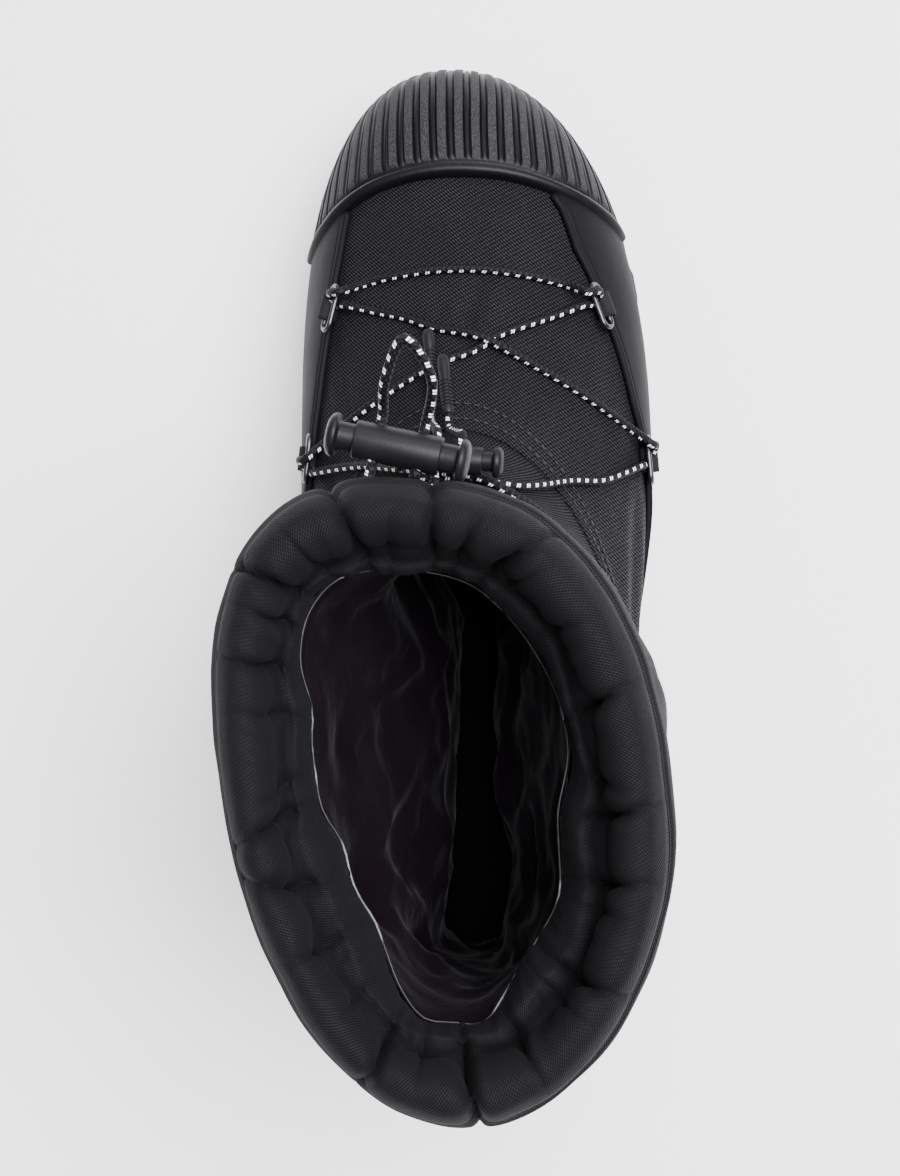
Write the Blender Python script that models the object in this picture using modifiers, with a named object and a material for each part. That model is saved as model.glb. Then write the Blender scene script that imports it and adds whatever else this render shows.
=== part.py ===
"""Apres ski boot for the right foot: a padded drawcord shaft on a nylon upper, over a ribbed rubber cup sole.

Metres, +Z up, +Y towards the toe, +X towards the outer (little toe) side of the foot. The origin is the middle
of the heel's tread, on the floor. Tables are in millimetres, as a last maker writes them.
"""

import math

import bmesh
import bpy
import numpy as np

MM = 0.001
GAP = 0.3  # left between two pieces that touch
CLOSE = 0.6  # the same between two curved skins whose facets differ

# The last, as rings stacked from the feather line up to the mouth of the shaft. Each ring runs from its back point
# to its front point. half is its half width, reached at wide_at of its length; heel_at and heel_share give the
# heel's roundness and width, nose the exponent of the front curve, sweep how late the ring bends to front_x,
# rise how late it climbs to front_z, and sag how far its middle dips.
RING_COLUMNS = (
    "front_x", "front_y", "front_z", "back_x", "back_y", "back_z",
    "half", "wide_at", "heel_at", "heel_share", "nose", "sweep", "rise", "sag",
)
RINGS = (
    (-8.0, 256.0, 37.0, 0.0, -36.0, 38.0, 52.0, 0.68, 0.16, 0.78, 2.15, 5.0, 1.0, 7.0),  # feather line
    (-8.0, 257.5, 46.0, 0.0, -37.5, 47.0, 53.5, 0.67, 0.16, 0.79, 2.15, 5.0, 1.0, 7.0),  # top of the sole's rim
    (-8.0, 253.5, 58.0, 1.0, -38.0, 56.0, 54.5, 0.62, 0.17, 0.80, 2.12, 5.0, 1.2, 4.0),
    (-7.5, 244.0, 68.0, 1.5, -37.5, 64.0, 54.0, 0.56, 0.18, 0.82, 2.08, 4.5, 1.4, 2.0),
    (-7.0, 230.0, 75.5, 1.5, -36.5, 71.0, 52.8, 0.51, 0.19, 0.83, 2.04, 4.0, 1.6, 1.0),
    (-6.0, 212.0, 80.5, 1.5, -35.5, 77.0, 51.2, 0.49, 0.20, 0.84, 2.0, 3.5, 1.8, 0.5),
    (-5.0, 186.0, 86.0, 1.5, -35.0, 83.0, 50.0, 0.48, 0.22, 0.85, 2.0, 3.0, 2.0, 0.0),
    (-4.0, 159.0, 94.0, 1.5, -35.0, 89.0, 49.0, 0.48, 0.25, 0.86, 2.0, 2.5, 2.2, 0.0),
    (-4.0, 133.0, 107.0, 1.5, -35.0, 95.0, 48.0, 0.50, 0.28, 0.88, 2.0, 2.0, 2.2, 0.0),  # seam of vamp and shaft
    (-5.0, 118.0, 122.0, 1.5, -35.5, 112.0, 48.0, 0.50, 0.31, 0.92, 2.1, 1.8, 1.8, 0.0),
    (-7.0, 110.0, 140.0, 2.0, -37.0, 133.0, 49.5, 0.50, 0.34, 0.96, 2.2, 1.9, 1.5, 0.0),
    (-10.0, 108.0, 161.0, 1.0, -40.0, 156.0, 52.2, 0.52, 0.42, 0.99, 2.4, 2.0, 1.2, 0.0),
    (-12.5, 108.0, 186.0, 0.5, -43.0, 186.0, 53.6, 0.54, 0.50, 1.0, 2.5, 2.2, 1.0, 0.0),  # foot of the cuff
)
HEEL_CURVE = 2.1
FEATHER, RIM, SEAM, CUFF_FOOT = 0.0, 1.0, 8.0, 12.0
OVER_RIM = RIM + 0.06  # where cap and rand begin, clear of the sole

UPPER_WALL = 2.0
SHAFT_WALL = 6.0
SHAFT_INSET = 0.8  # the shaft's face lies under the vamp's edge
AROUND = 44  # meridians of the upper, the shaft and the cuff

# The sole: its side as a band around the feather line, from the tread's edge up and over the rim to the tray.
TOE_SPRING = 13.0
ARCH_RISE = 3.0
HEEL_FLAT = (-45.0, 48.0)
BALL_FLAT = (112.0, 188.0)
SOLE_SIDE = (  # out from the last, ring followed, height over the tread, over the feather line, share of the latter
    (2.6, 0, 0.0, 0.0, 0.0, 0),  # tread edge
    (5.4, 0, 3.5, 0.0, 0.0, 0),
    (5.8, 0, 5.5, 0.0, 0.0, 1),
    (4.4, 1, 0.0, -1.5, 1.0, 1),
    (3.6, 1, 0.0, 0.5, 1.0, 0),
    (2.6, 1, 0.0, 8.6, 1.0, 0),  # rim, outer edge
    (GAP, 1, 0.0, 9.0, 1.0, 0),  # rim, inner edge
    (GAP, 0, 0.0, -GAP, 1.0, 0),  # tray
)
SIDE_RIBS = 32
SIDE_RIB_DEPTH = 1.3
LUG_DEPTH = 4.5
GROOVE_WIDTH = 4.2
GROOVE_PITCH = 13.0
CHEVRON = 7.0
GROOVE_X = 20.0
INSOLE_THICK = 4.0

# The toe cap covers the last in front of the bead, with moulded ribs along the foot.
BEAD_AT_RIM = {1: 197.0, -1: 192.0}  # y of the bead's foot on the outer and the inner side
BEAD_Y_PER_RING = {1: 4.9, -1: 6.0}
RIB_PITCH = 5.1
CAP_OUT, RIB_OUT, BEAD_OUT = 2.2, 3.3, 3.8
CAP_ROWS = ((0.0, 2.0), (1.2, BEAD_OUT), (3.0, BEAD_OUT), (4.2, 1.8))  # distance from the edge, height

# The smooth rand around the upper: its top edge as rings, by distance along the foot.
RAND_THICK = 1.2
RAND_ROWS, RAND_COLUMNS = 5, 33
RAND_EDGE = (  # y, ring on the outer side, ring on the inner side
    (-40.0, 2.7, 2.7), (0.0, 2.5, 2.5), (40.0, 2.4, 2.7), (75.0, 2.4, 3.6), (100.0, 2.75, 4.2),
    (124.0, 3.4, 4.8), (146.0, 4.0, 4.75), (169.0, 4.2, 4.5), (193.0, 4.25, 3.95), (206.0, 3.95, 3.6),
)

# The cuff's section: how far inside the shaft's face, and its height.
CUFF_SECTION = (
    (0.6, 187.1), (-0.6, 196.0), (-0.2, 207.0), (3.0, 216.0), (9.0, 220.0), (15.0, 217.5),
    (18.5, 209.0), (20.5, 198.0), (21.5, 189.0), (14.0, 187.1),
)

# Cords, wire rings and cord locks.
CORD = 2.6
RING_PLACES = (  # number, y, ring of the last on the outer side, on the inner side, height of the seat
    (1, 176.0, 3.9, 4.1, 2.1),
    (2, 128.0, 3.3, 4.5, 2.1),
    (3, 60.0, 4.0, 4.0, 0.5),
)
RING_WIRE, RING_LONG, RING_DEEP, RING_LEAN = 1.8, 16.0, 6.5, 0.35
TAB_LONG, TAB_DEEP, TAB_THICK, TAB_SLOT = 7.5, 4.6, 4.2, 3.4
# Lace strands: angle in degrees, ring of the last, height off it.
LACE_BAR = ((-43, 4.4, 4.6), (-36, 4.8, 3.2), (-9, 5.93, 2.2), (23, 5.7, 2.2), (36, 5.1, 3.2), (42, 4.75, 4.6))
LACE_FRONT = (  # between the first and second rings
    ((-45, 4.8, 4.6), (-38, 5.2, 2.8), (4, 6.75, 2.2), (38, 6.55, 2.2), (58, 5.6, 2.8), (65, 5.3, 4.6)),
    ((42, 5.15, 4.6), (34, 5.7, 2.8), (11, 6.7, 2.2), (-13, 7.05, 2.2), (-48, 6.33, 2.4), (-61, 5.7, 4.4)),
)
LACE_BACK = (  # between the second and third rings, under the cuff
    ((-60, 6.3, 4.2), (-54, 6.7, 2.6), (-34, 7.75, 2.2), (-18, 8.5, 2.2), (-2, 9.2, 2.2), (20, 9.3, 2.2),
     (45, 8.75, 2.2), (64, 8.1, 2.2), (82, 6.3, 2.4), (88, 5.5, 4.0)),
    ((67, 5.5, 4.2), (60, 6.3, 2.6), (42, 7.6, 2.2), (20, 8.9, 2.2), (4, 9.35, 2.2), (-20, 9.2, 2.2),
     (-45, 8.75, 2.2), (-64, 8.1, 2.2), (-82, 6.3, 2.4), (-88, 5.5, 4.0)),
)
LACE_RETURN = ((92, 6.4, 4.0), (84, 7.5, 2.4), (64, 9.2, 2.2), (42, 9.95, 2.6), (29, 10.05, 3.4))
LOCK_PROFILE_STEPS = 10
TIP_WIDE = 4.0
TIPS = {  # end and start of each moulded lace tip
    "medial": ((-12.4, 164.0, 99.5), (-10.6, 146.0, 104.5)),
    "lateral": ((-7.6, 155.0, 106.5), (-5.4, 136.0, 114.5)),
}
TIP_RUNS = {"medial": ((-10.0, 133.0, 124.0),), "lateral": ((-1.5, 128.5, 130.0),)}
DRAWCORD_BACK = {-1: 9.5, 1: 6.3}
DRAWCORD_LOOP = ((-15.5, 132.0, 208.0), (-10.5, 140.5, 214.0), (-4.5, 132.0, 209.0))

CUFF_LOCK_AT, CUFF_LOCK_TURN = (-13.1, 116.5, 200.3), -12.2
CUFF_LOCK = {"half": 10.6, "radius": 4.7, "neck": 3.5, "gap": 4.2, "flange": 5.5, "holes": 5.3, "bore": 4.1}
LACE_LOCK_AT, LACE_LOCK_TURN = (-4.0, 120.2, 142.0), -4.0
LACE_LOCK = {"half": 9.4, "radius": 3.9, "neck": 2.7, "gap": 3.0, "flange": 4.4, "holes": 3.4, "bore": 4.7}
BORE_GAP = 0.4  # running clearance around a button's stem
FLANGE_THICK = 2.9
STEM_IN = 1.2  # length of stem inside the barrel, at rest
TRAVEL = 1.6  # of each button when it is pressed


def table(rows, columns):
    return {name: np.array([row[i] for row in rows], float) for i, name in enumerate(columns)}


LAST = table(RINGS, RING_COLUMNS)


def smooth_column(values, at):
    """A smooth curve through evenly numbered values that never overshoots them."""
    step = np.diff(values)
    slope = np.zeros_like(values)
    both = step[:-1] * step[1:] > 0
    slope[1:-1][both] = 2 * step[:-1][both] * step[1:][both] / (step[:-1] + step[1:])[both]
    slope[0], slope[-1] = step[0], step[-1]
    at = np.clip(at, 0, len(values) - 1)
    low = np.minimum(np.floor(at).astype(int), len(values) - 2)
    s = at - low
    return (
        (2 * s**3 - 3 * s**2 + 1) * values[low] + (s**3 - 2 * s**2 + s) * slope[low]
        + (3 * s**2 - 2 * s**3) * values[low + 1] + (s**3 - s**2) * slope[low + 1]
    )


def half_width(share, c):
    """Half width at a share of the ring's length, as a share of the ring's own half width."""
    nose = np.clip((share - c["wide_at"]) / (1 - c["wide_at"]), 0, 1)
    heel = np.clip((c["heel_at"] - share) / c["heel_at"], 0, 1)
    middle = np.clip((share - c["heel_at"]) / (c["wide_at"] - c["heel_at"]), 0, 1)
    middle = middle * middle * (3 - 2 * middle)
    front = (1 - nose ** c["nose"]) ** (1 / c["nose"])
    back = (1 - heel**HEEL_CURVE) ** (1 / HEEL_CURVE)
    return (c["heel_share"] + (1 - c["heel_share"]) * middle) * front * back


def ring_point(share, side, ring, grow=0.0):
    """A point of the last, in millimetres. side is +1 on the outer side and -1 on the inner, grow widens the ring."""
    share, side, ring = np.broadcast_arrays(
        np.asarray(share, float), np.asarray(side, float), np.asarray(ring, float)
    )
    c = {name: smooth_column(values, ring) for name, values in LAST.items()}
    back_y, front_y = c["back_y"] - grow, c["front_y"] + grow
    centre = c["back_x"] + (c["front_x"] - c["back_x"]) * share ** c["sweep"]
    x = centre + side * half_width(share, c) * (c["half"] + grow)
    y = back_y + (front_y - back_y) * share
    z = c["back_z"] + (c["front_z"] - c["back_z"]) * share ** c["rise"] - c["sag"] * np.sin(math.pi * share)
    return np.stack([x, y, z], axis=-1)


def last_point(angle, ring, grow=0.0):
    """A point of the last by its angle around the ring: 0 at the toe, a quarter turn on the outer side."""
    return ring_point(0.5 + 0.5 * np.cos(angle), np.where(np.sin(angle) >= 0, 1.0, -1.0), ring, grow)


def skin(angle, ring, out):
    """A point that lies out millimetres outside the last."""
    angle, ring = np.broadcast_arrays(np.asarray(angle, float), np.asarray(ring, float))
    d = 0.02
    top = len(RINGS) - 1
    around = last_point(angle + d, ring) - last_point(angle - d, ring)
    up = last_point(angle, np.minimum(ring + d, top)) - last_point(angle, np.maximum(ring - d, 0))
    normal = np.cross(up, around)
    normal /= np.maximum(np.linalg.norm(normal, axis=-1, keepdims=True), 1e-9)
    return last_point(angle, ring) + np.asarray(out, float)[..., None] * normal


def angle_at(y, ring, side):
    """The angle around a ring at which it passes y, on one side."""
    back, front = smooth_column(LAST["back_y"], ring), smooth_column(LAST["front_y"], ring)
    share = np.clip((y - back) / (front - back), 0, 1)
    return side * np.arccos(2 * share - 1)


def material(name, colour, roughness, metallic=0.0):
    made = bpy.data.materials.get(name) or bpy.data.materials.new(name)
    made.use_nodes = True
    shader = made.node_tree.nodes["Principled BSDF"]
    shader.inputs["Base Color"].default_value = (*colour, 1)
    shader.inputs["Roughness"].default_value = roughness
    shader.inputs["Metallic"].default_value = metallic
    return made


def add_mesh(name, points, faces, finish, smooth=True, group="Boot"):
    """An object from points in millimetres and faces, in a named collection."""
    mesh = bpy.data.meshes.new(name)
    mesh.from_pydata((np.asarray(points, float) * MM).tolist(), [], faces)
    bm = bmesh.new()
    bm.from_mesh(mesh)
    bmesh.ops.remove_doubles(bm, verts=bm.verts, dist=0.00002)
    bmesh.ops.recalc_face_normals(bm, faces=bm.faces)
    bm.to_mesh(mesh)
    bm.free()
    made = bpy.data.objects.new(name, mesh)
    collections[group].objects.link(made)
    if finish:
        mesh.materials.append(finish)
    if smooth:
        mesh.shade_smooth()
        mesh.set_sharp_from_angle(angle=math.radians(35))
    return made


def grid_faces(rows, columns, closed, start=0):
    """Quads over a grid whose points are numbered row by row."""
    last = columns if closed else columns - 1
    return [
        (
            start + r * columns + c, start + r * columns + (c + 1) % columns,
            start + (r + 1) * columns + (c + 1) % columns, start + (r + 1) * columns + c,
        )
        for r in range(rows - 1)
        for c in range(last)
    ]


def ladder_faces(columns, start=0):
    """Closes a ring of points with strips from one side to the other."""
    faces = []
    for i in range((columns + 1) // 2):
        corners = [start + i, start + (i + 1) % columns, start + (columns - i - 1) % columns, start + (-i) % columns]
        unique = list(dict.fromkeys(corners))
        if len(unique) > 2:
            faces.append(tuple(unique))
    return faces


def modifier(obj, kind, **settings):
    made = obj.modifiers.new(kind.title(), kind)
    for key, value in settings.items():
        setattr(made, key, value)
    return made


def tread_height(y):
    """Height of the tread over the floor: flat at heel and ball, with an arch and a toe spring."""
    arch = np.clip((y - HEEL_FLAT[1]) / (BALL_FLAT[0] - HEEL_FLAT[1]), 0, 1)
    toe = np.clip((y - BALL_FLAT[1]) / (RINGS[0][1] + 6 - BALL_FLAT[1]), 0, 1)
    return ARCH_RISE * np.sin(math.pi * arch) ** 2 + TOE_SPRING * toe**1.8


def around():
    return np.arange(AROUND) * 2 * math.pi / AROUND


def shell(name, rows, wall, finish):
    """An open stack of rings, thickened inwards."""
    made = add_mesh(name, rows.reshape(-1, 3), grid_faces(len(rows), AROUND, True), finish)
    face_outwards(made)
    modifier(made, "SOLIDIFY", thickness=wall * MM, offset=-1, use_even_offset=True)
    modifier(made, "TRIANGULATE", quad_method="SHORTEST_DIAGONAL")
    return made


def make_upper():
    """Vamp and quarters in one: a nylon shell, open at the seam with the shaft and underneath."""
    levels = np.array([FEATHER, 1, 2, 3, 4, 5, 6, 7, SEAM])[:, None]
    shell("upper", last_point(around(), levels), UPPER_WALL, nylon)


def make_shaft():
    """The padded tube that rises from the vamp's edge to the cuff."""
    levels = np.array([SEAM, 9, 10, 11, CUFF_FOOT])[:, None]
    rows = skin(around(), levels, -SHAFT_INSET)
    rows[0, :, 2] += 1.6 * GAP
    shell("shaft", rows, SHAFT_WALL, padded_nylon)


def make_cuff():
    """The puffy drawcord cuff: a ring of wadding that rolls over to the inside of the mouth."""
    rows = []
    for inward, height in CUFF_SECTION:
        row = last_point(around(), CUFF_FOOT, -inward)
        row[:, 2] = height
        rows.append(row)
    count = len(rows)
    faces = grid_faces(count, AROUND, True)
    faces += [((count - 1) * AROUND + c, (count - 1) * AROUND + (c + 1) % AROUND, (c + 1) % AROUND, c)
              for c in range(AROUND)]
    add_mesh("cuff", np.concatenate(rows), faces, padded_nylon)


def angle_along(shares, ring, start=0.0, end=2 * math.pi):
    """Angles that lie at given shares of the length of a ring's outline, from a start to an end angle."""
    fine = np.linspace(start, end, 2001)
    steps = np.linalg.norm(np.diff(last_point(fine, ring), axis=0), axis=1)
    along = np.concatenate([[0], np.cumsum(steps)])
    return np.interp(np.asarray(shares) * along[-1], along, fine)


def make_sole():
    """The rubber cup sole: tread edge, ribbed side, rim and tray, with chevron grooves cut between its lugs."""
    columns = SIDE_RIBS * 3
    angles = angle_along(np.arange(columns) / columns, FEATHER)
    rib = np.tile([0.0, 1.0, 1.0], SIDE_RIBS)
    rows = []
    feather = last_point(angles, FEATHER)[:, 2]
    for out, ring, from_tread, from_feather, share, ribbed in SOLE_SIDE:
        row = last_point(angles, ring, out - SIDE_RIB_DEPTH * ribbed)
        row += (last_point(angles, ring, out) - row) * rib[:, None]
        row[:, 2] = (tread_height(row[:, 1]) + from_tread) * (1 - share) + (feather + from_feather) * share
        rows.append(row)
    faces = grid_faces(len(rows), columns, True)
    faces += ladder_faces(columns) + ladder_faces(columns, (len(rows) - 1) * columns)
    sole = add_mesh("outsole", np.concatenate(rows), faces, rubber)
    cut(sole, chevron_cutter())
    for x in (-GROOVE_X, GROOVE_X):
        cut(sole, lengthwise_cutter(x))
    return sole


def prism(plan, low, high):
    """Points and faces of an upright prism over a plan outline."""
    count = len(plan)
    points = [(x, y, low) for x, y in plan] + [(x, y, high) for x, y in plan]
    faces = [tuple(range(count))[::-1], tuple(range(count, 2 * count))]
    faces += [(i, (i + 1) % count, count + (i + 1) % count, count + i) for i in range(count)]
    return points, faces


def chevron_cutter():
    """All the grooves that cross the tread, each bent forward at the middle."""
    reach = 75.0
    centres = list(np.arange(HEEL_FLAT[0] + 11.5, HEEL_FLAT[1] - 4, GROOVE_PITCH))
    centres += list(np.arange(BALL_FLAT[0] - 4, RINGS[0][1] - 6, GROOVE_PITCH))
    points, faces = [], []
    for y in centres:
        plan = [(-reach, y - CHEVRON), (0, y), (reach, y - CHEVRON)]
        plan += [(reach, y - CHEVRON + GROOVE_WIDTH), (0, y + GROOVE_WIDTH), (-reach, y - CHEVRON + GROOVE_WIDTH)]
        top = tread_height(np.array(y)) + LUG_DEPTH
        more, ends = prism(plan, -6.0, float(top))
        faces += [tuple(i + len(points) for i in face) for face in ends]
        points += more
    return cutter("tread grooves", points, faces)


def lengthwise_cutter(x):
    """A pair of grooves along heel and forefoot, which follow the toe spring."""
    points, faces = [], []
    for start, end in ((HEEL_FLAT[0] + 19, HEEL_FLAT[1] - 9), (BALL_FLAT[0] + 4, RINGS[0][1] - 26)):
        ys = np.linspace(start, end, 7 if end > BALL_FLAT[1] else 2)
        first = len(points)
        for y in ys:
            top = float(tread_height(np.array(y))) + LUG_DEPTH - 0.7
            points += [(x - 1.8, y, -6.0), (x + 1.8, y, -6.0), (x + 1.8, y, top), (x - 1.8, y, top)]
        faces += [tuple(reversed(range(first, first + 4))), tuple(range(len(points) - 4, len(points)))]
        faces += grid_faces(len(ys), 4, True, first)
    return cutter("groove at %d" % x, points, faces)


def cutter(name, points, faces):
    made = add_mesh(name, points, faces, None, smooth=False, group="Cutters")
    made.hide_render = True
    made.display_type = "WIRE"
    return made


def cut(obj, tool):
    modifier(obj, "BOOLEAN", operation="DIFFERENCE", object=tool, solver="EXACT")


def make_insole():
    """The footbed that lies in the tray, inside the upper."""
    columns = 60
    angles = angle_along(np.arange(columns) / columns, FEATHER)
    rows = []
    for rise, inside in ((0.0, UPPER_WALL + 0.8), (INSOLE_THICK, UPPER_WALL + 1.4)):
        row = last_point(angles, FEATHER, -inside)
        row[:, 2] += rise
        rows.append(row)
    faces = grid_faces(2, columns, True) + ladder_faces(columns) + ladder_faces(columns, columns)
    return add_mesh("insole", np.concatenate(rows), faces, footbed)


def bead_y(ring, side):
    return BEAD_AT_RIM[side] + BEAD_Y_PER_RING[side] * (ring - RIM)


def section(y, side):
    """The last's cross-section at y, from the top of the vamp down to the rim: rings passed and length walked."""
    fronts = smooth_column(LAST["front_y"], np.linspace(0, SEAM, 801))
    top = np.interp(-y, -fronts[100:], np.linspace(0, SEAM, 801)[100:])
    down = np.linspace(0, 1, 90)
    rings = top - (top - OVER_RIM) * down**2
    points = last_point(angle_at(y, rings, side), rings)
    walked = np.concatenate([[0], np.cumsum(np.linalg.norm(np.diff(points, axis=0), axis=1))])
    return rings, walked


def cap_columns():
    """The lines that the cap's ribs follow: each keeps its distance from the ridge of the toe."""
    low, high = BEAD_AT_RIM[-1], float(LAST["front_y"][1]) - 0.05
    ys = high - (high - low) * np.linspace(0, 1, 160) ** 2
    reach = {side: np.array([section(y, side)[1][-1] for y in ys]) for side in (1, -1)}
    return ys, reach


def cap_line(distance, side, ys, reach):
    """Points of one rib line as angle and ring, from the bead forward to the rim, with the distance walked."""
    front = np.interp(distance, reach[side], ys)
    start = low = BEAD_AT_RIM[side]
    high = front
    for _ in range(30):
        start = (low + high) / 2
        rings, walked = section(start, side)
        ring = np.interp(distance, walked, rings)
        if start < bead_y(ring, side):
            low = start
        else:
            high = start
    path = []
    for y in start + (front - start) * np.sin(np.linspace(0, 1, 24) * math.pi / 2):
        rings, walked = section(y, side)
        ring = np.interp(distance, walked, rings)
        path.append((float(angle_at(y, ring, side)), float(max(ring, OVER_RIM))))
    path = np.array(path)
    points = last_point(path[:, 0], path[:, 1])
    walked = np.concatenate([[0], np.cumsum(np.linalg.norm(np.diff(points, axis=0), axis=1))])
    return path, walked


def make_toe_cap():
    """The moulded toe cap: a rounded bead along its back edge and ribs that run forward over the toe."""
    ys, reach = cap_columns()
    widest = min(reach[1][-1], reach[-1][-1]) - 4.0
    per_rib = (0.0, 0.5)
    count = int(widest / RIB_PITCH)
    distances = [RIB_PITCH * (k + part) for k in range(-count, count) for part in per_rib] + [RIB_PITCH * count]
    raised = [part > 0 for _ in range(-count, count) for part in per_rib] + [False]
    outer, inner = [], []
    rib_rows = np.array([0.0, 0.36, 0.7, 1.0])
    for distance, high in zip(distances, raised):
        side = 1 if distance >= 0 else -1
        path, walked = cap_line(max(abs(distance), 0.05), side, ys, reach)
        room = walked[-1]
        bead_share = min(1.0, room / 9.0)
        stations = [(at * bead_share, height) for at, height in CAP_ROWS]
        first = stations[-1][0] + 0.8 * bead_share
        height = RIB_OUT if high else CAP_OUT
        stations += [(first + (room - first) * share, height) for share in rib_rows]
        for at, out in stations:
            place = [np.interp(at, walked, path[:, i]) for i in (0, 1)]
            outer.append(skin(place[0], place[1], out))
        for at in np.linspace(0, room, 5):
            place = [np.interp(at, walked, path[:, i]) for i in (0, 1)]
            inner.append(skin(place[0], place[1], CLOSE))
    return plate("toe_cap", outer, inner, len(distances), rubber)


def plate(name, outer, inner, columns, finish):
    """A closed solid between an outer and an inner grid, both listed column by column."""
    rows_out, rows_in = len(outer) // columns, len(inner) // columns
    first = len(outer)
    faces = grid_faces(columns, rows_out, False) + grid_faces(columns, rows_in, False, first)
    for c in range(columns - 1):
        for row_out, row_in in ((0, 0), (rows_out - 1, rows_in - 1)):
            a, b = c * rows_out + row_out, (c + 1) * rows_out + row_out
            d, e = first + c * rows_in + row_in, first + (c + 1) * rows_in + row_in
            faces.append((a, b, e, d))
    for c in (0, columns - 1):
        rim = list(range(c * rows_out, (c + 1) * rows_out))
        rim += list(range(first + (c + 1) * rows_in - 1, first + c * rows_in - 1, -1))
        faces.append(tuple(rim))
    return add_mesh(name, np.array(outer + inner), faces, finish)


def make_rand():
    """The smooth coated band around the upper, from one end of the bead round the heel to the other."""
    edge = table(RAND_EDGE, ("y", "outer", "inner"))
    rows = []
    for share in np.linspace(0, 1, RAND_ROWS):
        row = []
        for angle in np.concatenate([np.linspace(-1, 0, RAND_COLUMNS)[:-1], np.linspace(0, 1, RAND_COLUMNS)]):
            side = 1 if angle >= 0 else -1
            heights = edge["outer" if side > 0 else "inner"]
            ring = OVER_RIM
            for _ in range(6):
                limit = angle_at(bead_y(ring, side) - 1.2, ring, 1)
                turned = float(angle_along(1 - abs(angle), ring, limit, math.pi))
                turned = (turned + limit + (math.pi - limit) * (1 - abs(angle))) / 2
                top = np.interp(last_point(turned, ring)[1], edge["y"], heights)
                ring = OVER_RIM + (top - OVER_RIM) * share
            row.append(skin(side * turned, ring, CLOSE))
        rows.append(row)
    band = add_mesh("rand", np.concatenate(rows), grid_faces(RAND_ROWS, 2 * RAND_COLUMNS - 1, False), coated)
    face_outwards(band)
    modifier(band, "SOLIDIFY", thickness=RAND_THICK * MM, offset=1, use_even_offset=True)
    modifier(band, "TRIANGULATE", quad_method="SHORTEST_DIAGONAL")


def face_outwards(obj):
    """Turns an open patch so that its faces look away from the foot."""
    mesh = obj.data
    centre = np.mean([vert.co for vert in mesh.vertices], axis=0)
    away = sum(float(np.dot(face.normal, np.array(face.center) - centre)) * face.area for face in mesh.polygons)
    if away < 0:
        mesh.flip_normals()


def smooth_curve(knots):
    """Many points along a smooth curve through knots."""
    knots = np.asarray(knots, float)
    ends = np.concatenate([[2 * knots[0] - knots[1]], knots, [2 * knots[-1] - knots[-2]]])
    t = np.linspace(0, 1, 24, endpoint=False)[:, None]
    spans = [
        0.5 * (2 * b + (c - a) * t + (2 * a - 5 * b + 4 * c - d) * t**2 + (3 * b - a - 3 * c + d) * t**3)
        for a, b, c, d in zip(ends, ends[1:], ends[2:], ends[3:])
    ]
    return np.concatenate(spans + [knots[-1:]])


def evenly(points, spacing):
    """The same line with its points at an even spacing."""
    walked = np.concatenate([[0], np.cumsum(np.linalg.norm(np.diff(points, axis=0), axis=1))])
    count = max(int(round(walked[-1] / spacing)), 2)
    return np.stack([np.interp(np.linspace(0, walked[-1], count + 1), walked, points[:, i]) for i in range(3)], -1)


def line_on_last(knots, spacing=9.0):
    """A cord's line over the boot, through knots given by angle, ring and height off the last."""
    degrees, ring, out = smooth_curve(knots).T
    return evenly(skin(np.radians(degrees), ring, out), spacing)


def wire(name, points, thick, finish, cyclic=False, group="Boot", sides=2):
    """A round cord or wire along points in millimetres."""
    curve = bpy.data.curves.new(name, "CURVE")
    curve.dimensions = "3D"
    spline = curve.splines.new("POLY")
    spline.points.add(len(points) - 1)
    for place, point in zip(spline.points, points):
        place.co = (*(float(v) * MM for v in point), 1)
    spline.use_cyclic_u = cyclic
    spline.use_smooth = True
    curve.bevel_depth = thick / 2 * MM
    curve.bevel_resolution = sides
    curve.use_fill_caps = not cyclic
    curve.materials.append(finish)
    made = bpy.data.objects.new(name, curve)
    collections[group].objects.link(made)
    return made


def as_mesh(obj, name, group):
    """The same shape as a welded mesh, in place of the curve."""
    bpy.context.view_layer.update()
    mesh = bpy.data.meshes.new_from_object(obj.evaluated_get(bpy.context.evaluated_depsgraph_get()))
    bm = bmesh.new()
    bm.from_mesh(mesh)
    bmesh.ops.remove_doubles(bm, verts=bm.verts, dist=0.00002)
    bmesh.ops.recalc_face_normals(bm, faces=bm.faces)
    bm.to_mesh(mesh)
    bm.free()
    made = bpy.data.objects.new(name, mesh)
    made.matrix_world = obj.matrix_world
    bpy.data.objects.remove(obj)
    collections[group].objects.link(made)
    return made


def make_crossing(name, strands):
    """Two lace strands, joined where they cross."""
    first, second = (wire(name + " strand", line_on_last(knots), CORD, cord_black, sides=1) for knots in strands)
    whole = as_mesh(first, name, "Boot")
    other = as_mesh(second, name + " strand", "Cutters")
    other.hide_render = True
    other.display_type = "WIRE"
    modifier(whole, "BOOLEAN", operation="UNION", object=other, solver="EXACT")


def unit(vector):
    return vector / np.linalg.norm(vector)


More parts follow.
